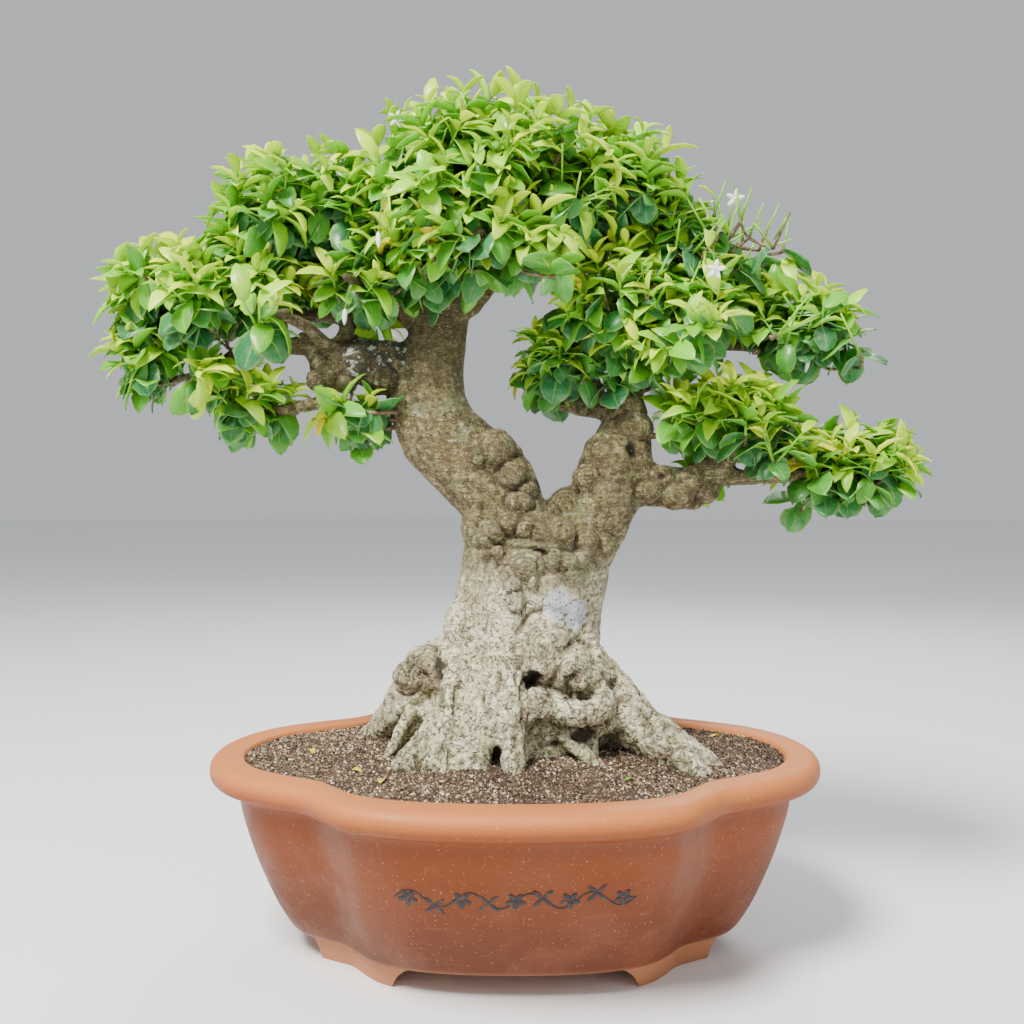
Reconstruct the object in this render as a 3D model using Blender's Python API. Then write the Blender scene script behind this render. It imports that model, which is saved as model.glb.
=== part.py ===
"""Water jasmine bonsai in a lobed clay pot.

Metres, +Z up, the front towards -Y. The origin is on the table, under the middle of the pot.
Points along the trunk, limbs and roots are written in millimetres, as (x, y, z, radius).

The pot is a loft of four-lobed rings. The wood is one body of tapered tubes and burls. The leaf
sprays stand on the wood's twigs: each is a short shoot with its leaves in pairs, each pair a quarter
turn from the one below it.
"""
import math
import random

import bmesh
import bpy
from mathutils import Matrix, Vector
from mathutils.bvhtree import BVHTree

MM = 0.001
GAP = 0.0003            # clearance between pieces that touch
SEED = 14
TREE_X = -3.0           # millimetres from the pot's middle to the line that the tree's points are measured from

# Pot, from the foot bottoms up
FOOT_HEIGHT = 0.016
FLOOR_TOP = 0.028
RIM_TOP = 0.1406
FOOT_SINK = 0.002       # how far a foot runs up into the base
FOOT_GROWTH = -0.10     # the feet's outer side, on the outline's scale from base 0 to rim 1
FOOT_WIDTH = 0.17       # thickness of a foot's arms, on the same scale
FOOT_TAPER = 0.03       # the foot bottoms stand this much further in
DRAIN_RADIUS = 0.008
DRAIN_X = 0.060
LOBE_STEPS_FRONT = 10
LOBE_STEPS_SIDE = 8

# The lobed outline at the base and at the rim: crease x and y, bulge of the front and side lobes
OUTLINE_BASE = (0.110, 0.050, 0.049, 0.053)
OUTLINE_RIM = (0.127, 0.107, 0.0625, 0.098)
FRONT_ROUNDNESS = 2.4
SIDE_ROUNDNESS = 2.0
CREASE_ROUNDS = 2       # how often the outline is averaged, which makes its creases soft

# Wall profile: (z, outline growth from base 0 to rim 1)
OUTER_PROFILE = (
    (0.0160, -0.02), (0.0205, 0.05), (0.0400, 0.24), (0.0700, 0.46), (0.1120, 0.66),
    (0.1200, 0.74), (0.1285, 0.94), (0.1350, 1.00), (RIM_TOP, 0.92),
)
INNER_PROFILE = ((RIM_TOP, 0.60), (0.1375, 0.57), (0.0900, 0.41), (0.0500, 0.19), (FLOOR_TOP, -0.07))

# Soil
SOIL_EDGE_Z = 0.1365
SOIL_TOP_RINGS = ((0.82, 0.1395), (0.55, 0.1435), (0.25, 0.1455))   # share of the outline, height
ROOT_GAP = 0.00035      # the clearance round the roots
SOIL_GAP = 0.008        # as a share of the outline's growth, about half a millimetre
SCREEN_SIDE = 0.034
SCREEN_THICK = 0.0012
SCREEN_CELLS = 2

# Leaves and shoots
LEAF_THICK = 0.0007
LEAF_SIDES = 6
LEAF_BELLY = -0.12      # moves the widest part of a leaf towards its base
SHOOT_RADIUS = 0.0020
SHOOT_TIP_RADIUS = 0.0015
SHOOT_SIDES = 4
TWIG_RADIUS = 2.0       # millimetres, at a twig's tip
TWIG_ROOM = 16.0        # millimetres between a branch's side and the start of a shoot
SHOOT_ROOM = 7.0        # millimetres that a shoot's line keeps from a branch's side
PAD_TOP = 0.95          # the shoots on a pad start from this level of it, 1 being its top,
PAD_DEPTH = 1.25        # down over this share of its half-height
UPWARD = 0.45           # how strongly shoots turn up towards the light
HEADING_SWINGS = (0.0, 0.5, -0.5, 1.0, -1.0, 1.6, -1.6, 2.4)
LEAF_RISE = (0.0, 0.3, 0.7, 1.2)   # how steeply each pair of leaves stands along its shoot
LEAF_TRIES = 30
LEAF_LENGTH = (0.027, 0.038)
LEAF_SLIMNESS = (0.42, 0.60)       # width as a share of length
LEAF_FOLD = 0.3         # how much each half of the blade rises from the midrib
LEAF_SWAY = 0.15        # radians that a leaf may turn at the first try
LAST_SWAY = 3.5         # times as much at the last
FIRST_PAIR = 0.20       # where the leaf pairs start and end along the shoot
LAST_PAIR = 0.92
LEAF_CLEARANCE = 0.0008
LEAF_ROOT = 0.0006      # how deep a leaf's base is sunk in the flat side of its shoot
WOOD_TRIANGLES = 3800
WELD = 0.00003          # corners of the fused wood that lie closer than this become one

TRUNK = (
    (14, 4, 108, 34), (14, 4, 124, 52), (14, 2, 150, 60), (13, 0, 178, 60), (10, 0, 212, 56),
    (12, 0, 245, 54), (18, 0, 272, 54), (21, 0, 294, 54), (23, 0, 308, 44), (25, 0, 316, 28),
)
LEFT_LIMB = (
    (10, 0, 292, 38), (-2, 0, 320, 33), (-28, 0, 346, 32), (-52, 0, 368, 31), (-62, 0, 394, 30),
    (-58, 0, 418, 25), (-52, 1, 440, 21), (-47, 2, 466, 19), (-40, 3, 496, 16), (-31, 2, 530, 11),
    (-34, -2, 566, 7), (-38, -4, 590, 4),
)
RIGHT_LIMB = (
    (34, 0, 282, 40), (52, 0, 304, 34), (67, 0, 328, 30), (78, 1, 350, 26), (85, 2, 376, 19),
    (85, 3, 397, 11),
)
STUB_LEFT = ((-60, 0, 408, 21), (-90, -2, 418, 19), (-118, -3, 420, 19), (-138, -4, 419, 17), (-145, -4, 419, 10))

# Branches that carry twigs
BRANCHES = (
    # left tier, from the cut stub
    ((-122, -4, 424, 12), (-145, -8, 431, 8), (-190, -10, 429, 6.5), (-216, -8, 412, 5), (-250, -6, 405, 3.5)),
    ((-121, -2, 428, 10), (-118, 0, 452, 7), (-153, 4, 455, 6), (-192, 6, 449, 5), (-240, 8, 434, 3.5)),
    ((-124, -6, 408, 9), (-136, -8, 390, 6), (-174, -10, 383, 5), (-196, -10, 385, 3)),
    ((-128, -8, 426, 8), (-140, -40, 440, 6), (-158, -68, 446, 4)),
    # left upper
    ((-52, 2, 436, 13), (-88, 8, 468, 9), (-126, 8, 486, 7), (-172, 4, 500, 4)),
    ((-104, 8, 477, 7), (-126, 42, 486, 5.5), (-150, 74, 488, 4)),
    ((-100, 8, 474, 7), (-104, -34, 470, 5.5), (-110, -70, 468, 4)),
    # top
    ((-42, 2, 486, 10), (-70, -10, 514, 7), (-98, -20, 536, 4)),
    ((-38, 2, 500, 10), (-2, -6, 522, 7), (34, -12, 540, 5.5), (66, -16, 550, 4)),
    ((-46, 2, 470, 10), (-34, -46, 486, 7), (-18, -82, 496, 4)),
    ((-44, 2, 478, 10), (-36, 50, 504, 7), (-44, 92, 524, 4)),
    ((0, -4, 523, 6), (14, 38, 540, 5), (28, 74, 546, 4)),
    # inner pair in the fork's light
    ((-48, 0, 450, 9), (-28, -8, 458, 7), (-8, -14, 480, 5.5), (20, -20, 488, 4)),
    ((84, 4, 384, 11), (60, 18, 388, 8), (36, 28, 392, 6), (18, 34, 402, 4)),
    # right upper and middle
    ((84, 4, 388, 11), (100, 16, 432, 10), (136, 24, 441, 8), (172, 20, 436, 6.5), (204, 12, 432, 4.5)),
    ((106, 18, 436, 8), (122, 14, 478, 6), (140, 6, 502, 4)),
    ((122, 22, 439, 7), (118, -22, 436, 5.5), (126, -60, 440, 4)),
    ((134, 24, 441, 7), (142, 60, 456, 5.5), (156, 84, 466, 4)),
    # right lower
    ((82, 0, 336, 22), (104, 0, 331, 18), (130, -4, 328, 18), (147, -6, 344, 13), (166, -8, 371, 8), (178, -4, 384, 4)),
    ((138, -6, 330, 11), (146, -8, 336, 8), (182, -10, 337, 6), (216, -8, 338, 5), (246, -6, 338, 3.5)),
    ((160, -8, 362, 7), (176, 28, 362, 5.5), (190, 58, 366, 4)),
    ((62, 6, 398, 9), (54, 34, 424, 6), (42, 52, 436, 4)),
)
ROOTS = (
    ((-30, -6, 208, 24), (-61, -10, 195, 24), (-80, -2, 168, 17), (-100, 18, 147, 11), (-120, 30, 134, 6)),
    ((-44, -16, 178, 12), (-64, -24, 166, 8), (-80, -32, 150, 6), (-92, -38, 134, 4)),
    ((-38, -26, 168, 18), (-54, -48, 156, 14), (-68, -64, 144, 12), (-74, -74, 134, 9)),
    ((-18, -34, 172, 17), (-26, -52, 156, 14), (-34, -66, 140, 9), (-38, -74, 130, 6)),
    ((0, -38, 172, 18), (2, -56, 156, 14), (4, -68, 138, 9)),
    ((40, -34, 176, 20), (48, -48, 160, 14), (54, -58, 140, 8)),
    ((48, -16, 196, 26), (74, -28, 174, 22), (98, -42, 157, 17), (116, -58, 146, 12), (130, -70, 134, 8)),
    ((100, -40, 164, 13), (120, -44, 152, 9), (146, -50, 134, 6)),
    ((56, 18, 186, 24), (84, 38, 160, 17), (104, 54, 140, 10), (116, 62, 128, 6)),
    ((10, 36, 180, 26), (4, 66, 156, 18), (0, 86, 132, 9)),
    ((-30, 30, 176, 22), (-58, 52, 152, 14), (-76, 66, 132, 8)),
    ((26, -44, 172, 9), (48, -52, 172, 13), (70, -46, 168, 9)),
)
SUNK_ROOTS = (
    ((-10, -10, 130, 22), (-30, -24, 104, 12), (-44, -34, 82, 5)),
    ((30, -14, 130, 22), (52, -26, 102, 12), (66, -36, 80, 5)),
    ((8, 20, 130, 24), (4, 36, 100, 13), (0, 46, 76, 5)),
)
# Burls: centre, then half-size along x, y and z
BURLS = (
    ((-14, -8, 344), (26, 20, 28)), ((70, -16, 350), (21, 20, 22)), ((24, -34, 298), (22, 18, 17)),
    ((0, -34, 278), (24, 16, 17)), ((40, -40, 190), (24, 15, 19)), ((-34, -26, 202), (26, 22, 24)),
    ((46, 4, 336), (20, 18, 14)), ((92, -4, 334), (16, 18, 16)), ((-70, 6, 402), (24, 22, 24)),
)
# Foliage pads: centre and half-size of the surface that the shoots start from, how many shoots
PADS = (
    ((-18, -2, 518), (74, 66, 34), 9),
    ((-134, 2, 482), (46, 40, 16), 4),
    ((-184, -14, 438), (56, 52, 12), 5),
    ((-236, 2, 400), (18, 18, 8), 2),
    ((-180, -8, 396), (8, 12, 6), 1),
    ((-114, -10, 384), (4, 4, 4), 1),
    ((34, 40, 430), (26, 18, 16), 2),
    ((130, 8, 486), (36, 46, 24), 4),
    ((148, -4, 430), (44, 58, 16), 5),
    ((203, -6, 338), (46, 42, 14), 4),
)


def mix(first, last, share):
    return tuple(a + (b - a) * share for a, b in zip(first, last))


def metres(point):
    """A place on the tree, from the millimetres of its tables."""
    return Vector((point[0] + TREE_X, point[1], point[2])) * MM


def soften(points):
    """Each point moved half way to the middle of its neighbours."""
    return [(0.25 * a[0] + 0.5 * b[0] + 0.25 * c[0], 0.25 * a[1] + 0.5 * b[1] + 0.25 * c[1])
            for a, b, c in zip(points[-1:] + points[:-1], points, points[1:] + points[:1])]


def lobe(half_chord, bulge, roundness, steps):
    """Points along one lobe, as (along the chord, outwards), from one crease to just before the next."""
    points = []
    for step in range(steps):
        angle = math.pi * step / steps
        along = -math.copysign(abs(math.cos(angle)) ** (2 / roundness), math.cos(angle))
        points.append((half_chord * along, bulge * math.sin(angle) ** (2 / roundness)))
    return points


def outline(growth, scale=1.0):
    """The four-lobed outline, anticlockwise from the front left crease."""
    crease_x, crease_y, front, side = mix(OUTLINE_BASE, OUTLINE_RIM, growth)
    front_lobe = lobe(crease_x, front, FRONT_ROUNDNESS, LOBE_STEPS_FRONT)
    side_lobe = lobe(crease_y, side, SIDE_ROUNDNESS, LOBE_STEPS_SIDE)
    points = [(along, -crease_y - out) for along, out in front_lobe]
    points += [(crease_x + out, along) for along, out in side_lobe]
    points += [(-along, crease_y + out) for along, out in front_lobe]
    points += [(-crease_x - out, -along) for along, out in side_lobe]
    for _ in range(CREASE_ROUNDS):
        points = soften(points)
    return [(x * scale, y * scale) for x, y in points]


def ring_points(growth, z, scale=1.0):
    return [Vector((x, y, z)) for x, y in outline(growth, scale)]


def new_collection(name):
    collection = bpy.data.collections.new(name)
    bpy.context.scene.collection.children.link(collection)
    return collection


def new_object(name, bm, collection):
    """Turns a bmesh into an object with its faces pointing out."""
    bmesh.ops.recalc_face_normals(bm, faces=bm.faces)
    if bm.calc_volume(signed=True) < 0:
        bmesh.ops.reverse_faces(bm, faces=bm.faces)
    mesh = bpy.data.meshes.new(name)
    bm.to_mesh(mesh)
    bm.free()
    obj = bpy.data.objects.new(name, mesh)
    collection.objects.link(obj)
    return obj


def paint(obj, colour, roughness, metallic=0.0):
    material = bpy.data.materials.new(obj.name)
    material.use_nodes = True
    shader = material.node_tree.nodes["Principled BSDF"]
    shader.inputs["Base Color"].default_value = (*colour, 1.0)
    shader.inputs["Roughness"].default_value = roughness
    shader.inputs["Metallic"].default_value = metallic
    material.diffuse_color = (*colour, 1.0)
    obj.data.materials.clear()
    obj.data.materials.append(material)


def loft(rings):
    """A closed body through rings of equal length, capped at both ends."""
    bm = bmesh.new()
    loops = [[bm.verts.new(point) for point in ring] for ring in rings]
    for low, high in zip(loops, loops[1:]):
        for a, b, c, d in zip(low, low[1:] + low[:1], high[1:] + high[:1], high):
            bm.faces.new((a, b, c, d))
    bm.faces.new(loops[0][::-1])
    bm.faces.new(loops[-1])
    return bm


def apply_modifiers(obj):
    graph = bpy.context.evaluated_depsgraph_get()
    mesh = bpy.data.meshes.new_from_object(obj.evaluated_get(graph))
    obj.modifiers.clear()
    old = obj.data
    obj.data = mesh
    bpy.data.meshes.remove(old)


def apply_boolean(obj, operation, solver, operand=None, collection=None):
    """Applies one Boolean on an object or on a whole collection."""
    modifier = obj.modifiers.new("boolean", "BOOLEAN")
    modifier.operation = operation
    modifier.solver = solver
    if collection is None:
        modifier.object = operand
    else:
        modifier.operand_type = "COLLECTION"
        modifier.collection = collection
    apply_modifiers(obj)


def keep_outer_skin(obj):
    """Drops what is not joined to the outer skin: sealed hollows and loose scraps."""
    bm = bmesh.new()
    bm.from_mesh(obj.data)
    left = set(bm.verts)
    skins = []
    while left:
        skin = set()
        front = [left.pop()]
        while front:
            vert = front.pop()
            skin.add(vert)
            for edge in vert.link_edges:
                other = edge.other_vert(vert)
                if other in left:
                    left.discard(other)
                    front.append(other)
        skins.append(skin)
    largest = max(skins, key=lambda skin: sum(face.calc_area() for vert in skin for face in vert.link_faces))
    for skin in skins:
        if skin is not largest:
            bmesh.ops.delete(bm, geom=list(skin), context="VERTS")
    bm.to_mesh(obj.data)
    bm.free()


def fuse(obj, members):
    """Unions every object of the collection into obj, then removes them."""
    apply_boolean(obj, "UNION", "MANIFOLD", collection=members)
    for member in list(members.objects):
        bpy.data.objects.remove(member, do_unlink=True)
    keep_outer_skin(obj)


def thin_out(obj, triangles):
    """Collapses the smallest edges until the body has about this many triangles."""
    bm = bmesh.new()
    bm.from_mesh(obj.data)
    bmesh.ops.triangulate(bm, faces=bm.faces[:])
    bmesh.ops.remove_doubles(bm, verts=bm.verts, dist=WELD)
    before = len(bm.faces)
    bm.to_mesh(obj.data)
    bm.free()
    modifier = obj.modifiers.new("fewer", "DECIMATE")
    modifier.ratio = min(1.0, triangles / before)
    apply_modifiers(obj)


def smooth_route(points, steps):
    """A smooth line through the points, with the given number of steps to each stretch."""
    padded = [points[0]] + list(points) + [points[-1]]
    route = []
    for i in range(1, len(padded) - 2):
        before, start, end, after = (Vector(padded[i + k]) for k in (-1, 0, 1, 2))
        for step in range(steps):
            t = step / steps
            route.append(0.5 * (2 * start + (end - before) * t
                                + (2 * before - 5 * start + 4 * end - after) * t ** 2
                                + (3 * start - before - 3 * end + after) * t ** 3))
    route.append(Vector(padded[-2]))
    return route


def tube(name, points, collection, resolution=1, steps=1):
    """A tapered tube with filled ends, 4 + 2 * resolution sides, through (x, y, z, radius) points."""
    route = smooth_route(points, steps)
    curve = bpy.data.curves.new(name, "CURVE")
    curve.dimensions = "3D"
    curve.bevel_depth = MM
    curve.bevel_resolution = resolution
    curve.use_fill_caps = True
    spline = curve.splines.new("POLY")
    spline.points.add(len(route) - 1)
    for point, place in zip(spline.points, route):
        point.co = (*metres(place), 1.0)
        point.radius = place[3]
    carrier = bpy.data.objects.new(name, curve)
    collection.objects.link(carrier)
    graph = bpy.context.evaluated_depsgraph_get()
    mesh = bpy.data.meshes.new_from_object(carrier.evaluated_get(graph))
    bm = bmesh.new()
    bm.from_mesh(mesh)
    bmesh.ops.remove_doubles(bm, verts=bm.verts, dist=0.00001)
    bpy.data.objects.remove(carrier, do_unlink=True)
    bpy.data.curves.remove(curve)
    bpy.data.meshes.remove(mesh)
    return new_object(name, bm, collection)


def burl(name, centre, half_size, collection):
    bm = bmesh.new()
    place = Matrix.Translation(metres(centre)) @ Matrix.Diagonal((*(Vector(half_size) * MM), 1.0))
    bmesh.ops.create_icosphere(bm, subdivisions=2, radius=1.0, matrix=place)
    return new_object(name, bm, collection)


def foot(name, side_x, side_y, collection):
    """A bracket foot: one arm along the side lobe, one along the front or back lobe."""
    arm_front = 3
    arm_side = 2
    edges = []
    for growth in (FOOT_GROWTH, FOOT_GROWTH - FOOT_WIDTH):
        points = outline(growth)
        edge = points[-arm_side:] + points[:arm_front + 1]
        edges.append([(side_x * abs(x), side_y * abs(y)) for x, y in edge])
    footprint = edges[0] + edges[1][::-1]
    bm = bmesh.new()
    face = bm.faces.new([bm.verts.new((x, y, FOOT_HEIGHT + FOOT_SINK)) for x, y in footprint])
    grown = bmesh.ops.extrude_face_region(bm, geom=[face])
    for vert in grown["geom"]:
        if isinstance(vert, bmesh.types.BMVert):
            shrink = 1.0 - FOOT_TAPER
            vert.co = Vector((vert.co.x * shrink, vert.co.y * shrink, 0.0))
    return new_object(name, bm, collection)


def build_pot(collection, cutters):
    """Walls, rolled lip, base, feet and drainage holes, fired as one piece."""
    rings = [ring_points(growth, z) for z, growth in OUTER_PROFILE + INNER_PROFILE]
    pot = new_object("pot", loft(rings), collection)
    feet = new_collection("pot feet")
    for side_x in (-1, 1):
        for side_y in (-1, 1):
            foot("foot", side_x, side_y, feet)
    fuse(pot, feet)
    bpy.data.collections.remove(feet)
    for side in (-1, 1):
        bm = bmesh.new()
        bmesh.ops.create_cone(bm, cap_ends=True, segments=12, radius1=DRAIN_RADIUS, radius2=DRAIN_RADIUS,
                              depth=0.04, matrix=Matrix.Translation((side * DRAIN_X, 0, FLOOR_TOP)))
        cutter = new_object("drain cutter", bm, cutters)
        cutter.hide_render = True
        cutter.display_type = "WIRE"
        apply_boolean(pot, "DIFFERENCE", "EXACT", operand=cutter)
    return pot


def build_screen(name, x, collection):
    """A mesh square that keeps the soil in over a drainage hole."""
    cells = 2 * SCREEN_CELLS + 1
    bm = bmesh.new()
    bmesh.ops.create_grid(bm, x_segments=cells, y_segments=cells, size=SCREEN_SIDE / 2,
                          matrix=Matrix.Translation((x, 0, FLOOR_TOP + GAP)))
    pitch = SCREEN_SIDE / cells
    holes = []
    for face in bm.faces:
        middle = face.calc_center_median()
        column = int((middle.x - x + SCREEN_SIDE / 2) / pitch)
        row = int((middle.y + SCREEN_SIDE / 2) / pitch)
        if column % 2 and row % 2:
            holes.append(face)
    bmesh.ops.delete(bm, geom=holes, context="FACES")
    grown = bmesh.ops.extrude_face_region(bm, geom=bm.faces[:])
    raised = [item for item in grown["geom"] if isinstance(item, bmesh.types.BMVert)]
    bmesh.ops.translate(bm, verts=raised, vec=(0, 0, SCREEN_THICK))
    return new_object(name, bm, collection)


def soil_rings():
    rings = [ring_points(growth - SOIL_GAP, z + GAP) for z, growth in reversed(INNER_PROFILE[2:])]
    edge_growth = INNER_PROFILE[1][1] - SOIL_GAP
    rings.append(ring_points(edge_growth, SOIL_EDGE_Z))
    rings += [ring_points(edge_growth, z, scale) for scale, z in SOIL_TOP_RINGS]
    return rings


def build_soil(wood, collection, cutters):
    """The mounded filling, with holes for the roots and pockets for the two mesh squares."""
    soil = new_object("soil", loft(soil_rings()), collection)
    bm = bmesh.new()
    bm.from_mesh(wood.data)
    for vert in bm.verts:
        vert.co += vert.normal * ROOT_GAP * vert.calc_shell_factor()
    roots = new_object("root cutter", bm, cutters)
    roots.hide_render = True
    roots.display_type = "WIRE"
    apply_boolean(soil, "DIFFERENCE", "MANIFOLD", operand=roots)
    for side in (-1, 1):
        bm = bmesh.new()
        top = FLOOR_TOP + 2 * GAP + SCREEN_THICK
        size = Matrix.Diagonal((SCREEN_SIDE + 2 * GAP, SCREEN_SIDE + 2 * GAP, 2 * (top - FLOOR_TOP), 1.0))
        bmesh.ops.create_cube(bm, size=1.0, matrix=Matrix.Translation((side * DRAIN_X, 0, FLOOR_TOP)) @ size)
        pocket = new_object("screen pocket", bm, cutters)
        pocket.hide_render = True
        pocket.display_type = "WIRE"
        apply_boolean(soil, "DIFFERENCE", "EXACT", operand=pocket)
    return soil


def shoot_starts(carriers):
    """Where each shoot starts and which way it grows, spread over every pad by the golden angle."""
    turn = math.pi * (3 - math.sqrt(5))
    starts = []
    for pad_number, (centre, half_size, count) in enumerate(PADS):
        for k in range(count):
            level = PAD_TOP - PAD_DEPTH * (k + 0.5) / count
            around = turn * k + 0.9 * pad_number
            flat = math.sqrt(1 - level * level)
            out = Vector((flat * math.cos(around), flat * math.sin(around), level))
            place = Vector(a + b * c for a, b, c in zip(centre, half_size, out))
            heading = (out + Vector((0, 0, UPWARD))).normalized()
            place = set_off(place, heading, carriers)
            starts.append((place, clear_heading(place, heading, carriers)))
    return starts


def nearest(carriers, place):
    return min(carriers, key=lambda point: (Vector(point[:3]) - place).length - point[3])


def set_off(place, heading, carriers):
    """Moves a shoot's start out until it stands clear of the nearest branch."""
    for _ in range(3):
        carrier = nearest(carriers, place)
        away = place - Vector(carrier[:3])
        room = carrier[3] + TWIG_ROOM
        if away.length < room:
            place = Vector(carrier[:3]) + (away + heading * 6).normalized() * room
    return place


def clear_heading(place, heading, carriers):
    """Swings a shoot's heading round until it runs clear of every branch."""
    for swing in HEADING_SWINGS:
        turned = Matrix.Rotation(swing, 3, "Z") @ heading
        along = [place + turned * distance for distance in (10, 20, 30, 40)]
        if all((Vector(carrier[:3]) - point).length > carrier[3] + SHOOT_ROOM
               for carrier in carriers for point in along):
            return turned
    return heading


def twig_route(place, heading, carriers):
    """From the nearest branch point, in an easy bend, to a shoot's start."""
    carrier = nearest(carriers, place - heading * 12)
    foot_point = Vector(carrier[:3])
    bend = place - heading * (0.4 * (place - foot_point).length)
    start_radius = min(carrier[3] * 0.7, 3.4)
    return ((*foot_point, start_radius), (*bend, 0.5 * (start_radius + TWIG_RADIUS)), (*place, TWIG_RADIUS))


def carrier_points():
    """The points of the branches and of the upper left limb that twigs may grow from."""
    points = [point for route in BRANCHES for point in smooth_route(route, 4)[3:]]
    return points + smooth_route(LEFT_LIMB[7:], 3)


def build_wood(starts, carriers, collection):
    """Trunk, limbs, roots and twigs, grown as one body."""
    members = new_collection("wood members")
    wood = tube("wood", TRUNK, collection, resolution=5)
    tube("left limb", LEFT_LIMB, members, resolution=3)
    tube("right limb", RIGHT_LIMB, members, resolution=3)
    tube("left stub", STUB_LEFT, members, resolution=2)
    for number, points in enumerate(BRANCHES):
        tube(f"branch {number}", points, members, resolution=1 if points[0][3] > 8 else 0)
    for number, points in enumerate(ROOTS + SUNK_ROOTS):
        tube(f"root {number}", points, members, resolution=1)
    for number, (centre, half_size) in enumerate(BURLS):
        burl(f"burl {number}", centre, half_size, members)
    for number, (place, heading) in enumerate(starts):
        tube(f"twig {number}", twig_route(place, heading, carriers), members, resolution=0)
    fuse(wood, members)
    bpy.data.collections.remove(members)
    thin_out(wood, WOOD_TRIANGLES)
    return wood


def leaf_bmesh(length, width, thickness):
    """A pointed leaf along +X with its base at the origin, folded up a little along the midrib."""
    bm = bmesh.new()
    bmesh.ops.create_circle(bm, cap_ends=True, segments=LEAF_SIDES, radius=0.5,
                            matrix=Matrix.Rotation(math.pi / 2, 4, "Z"))
    for vert in bm.verts:
        share = vert.co.x + 0.5
        vert.co.y *= width * (1.16 if share < 0.5 else 1.02)
        vert.co.x = length * (share + LEAF_BELLY * share * (1 - share))
        vert.co.z = LEAF_FOLD * abs(vert.co.y)
    along = sorted(bm.verts, key=lambda v: v.co.x)
    tip = along[-1]
    for other in along[:3]:
        bmesh.ops.connect_verts(bm, verts=[other, tip])
    grown = bmesh.ops.extrude_face_region(bm, geom=bm.faces[:])
    raised = [item for item in grown["geom"] if isinstance(item, bmesh.types.BMVert)]
    bmesh.ops.translate(bm, verts=raised, vec=(0, 0, thickness))
    bmesh.ops.translate(bm, verts=bm.verts, vec=(0, 0, -thickness / 2))
    bmesh.ops.recalc_face_normals(bm, faces=bm.faces)
    return bm


def aim(origin, along, up):
    """The matrix that lays a leaf's +X along a direction, its face towards up."""
    x_axis = along.normalized()
    y_axis = up.cross(x_axis).normalized()
    z_axis = x_axis.cross(y_axis)
    turn = Matrix((x_axis, y_axis, z_axis)).transposed().to_4x4()
    return Matrix.Translation(origin) @ turn


def touches(bm, trees):
    own = BVHTree.FromBMesh(bm)
    return any(own.overlap(tree) for tree in trees)


def try_leaf(rng, root, heading, side, rise, others, siblings):
    """One leaf with its base at root, turned until it is clear of everything else, or None."""
    for attempt in range(LEAF_TRIES):
        sway = LEAF_SWAY * (1 + (LAST_SWAY - 1) * attempt / LEAF_TRIES)
        length = rng.uniform(*LEAF_LENGTH)
        width = length * rng.uniform(*LEAF_SLIMNESS)
        lift = rise + rng.uniform(-sway, sway)
        swing = Matrix.Rotation(rng.uniform(-sway, sway), 3, heading)
        along = (swing @ side) + heading * lift
        roll = Matrix.Rotation(rng.uniform(-sway, sway), 3, along.normalized())
        place = aim(root, along, roll @ heading)
        wide = leaf_bmesh(length, width, LEAF_THICK + 2 * LEAF_CLEARANCE)
        wide.transform(place @ Matrix.Diagonal((1.02, 1.08, 1.0, 1.0)))
        outer = leaf_bmesh(length * 0.8, width, LEAF_THICK)
        outer.transform(place @ Matrix.Translation((length * 0.2, 0, 0)))
        clear = not touches(wide, others) and not touches(outer, siblings)
        wide.free()
        outer.free()
        if clear:
            leaf = leaf_bmesh(length, width, LEAF_THICK)
            leaf.transform(place)
            return leaf
    return None


def build_shoot(number, place, heading, rng, collection):
    """The bare shoot: a tapered four-sided stem whose flat sides face the leaf pairs."""
    length = rng.uniform(0.034, 0.042)
    start = metres(place) + heading * GAP
    across = Matrix.Rotation(rng.uniform(0, math.pi), 3, heading) @ heading.orthogonal().normalized()
    upright = aim(start + heading * length / 2, heading, across) @ Matrix.Rotation(math.pi / 2, 4, "Y")
    bm = bmesh.new()
    bmesh.ops.create_cone(bm, cap_ends=True, segments=SHOOT_SIDES, radius1=SHOOT_RADIUS,
                          radius2=SHOOT_TIP_RADIUS, depth=length, matrix=upright)
    spray = new_object(f"spray_{number:02d}", bm, collection)
    return spray, start, heading, across, length


def add_leaves(shoot, others, rng):
    """Sets the pairs of leaves on a shoot and makes one body of them."""
    spray, start, heading, across, length = shoot
    leaves = new_collection("leaves")
    siblings = []
    for pair, rise in enumerate(LEAF_RISE):
        share = FIRST_PAIR + (LAST_PAIR - FIRST_PAIR) * pair / (len(LEAF_RISE) - 1)
        radius = SHOOT_RADIUS + (SHOOT_TIP_RADIUS - SHOOT_RADIUS) * share
        flat_side = radius * math.cos(math.pi / SHOOT_SIDES)
        for half in (0, 1):
            angle = math.pi / SHOOT_SIDES + math.pi * half + math.pi / 2 * pair
            side = Matrix.Rotation(angle, 3, heading) @ across
            root = start + heading * length * share + side * (flat_side - LEAF_ROOT)
            leaf = try_leaf(rng, root, heading, side, rise, others, siblings)
            if leaf is not None:
                siblings.append(BVHTree.FromBMesh(leaf))
                new_object("leaf", leaf, leaves)
    fuse(spray, leaves)
    bpy.data.collections.remove(leaves)


def surface_tree(obj):
    bm = bmesh.new()
    bm.from_mesh(obj.data)
    tree = BVHTree.FromBMesh(bm)
    bm.free()
    return tree


def clear_scene():
    for obj in list(bpy.data.objects):
        bpy.data.objects.remove(obj, do_unlink=True)


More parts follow.
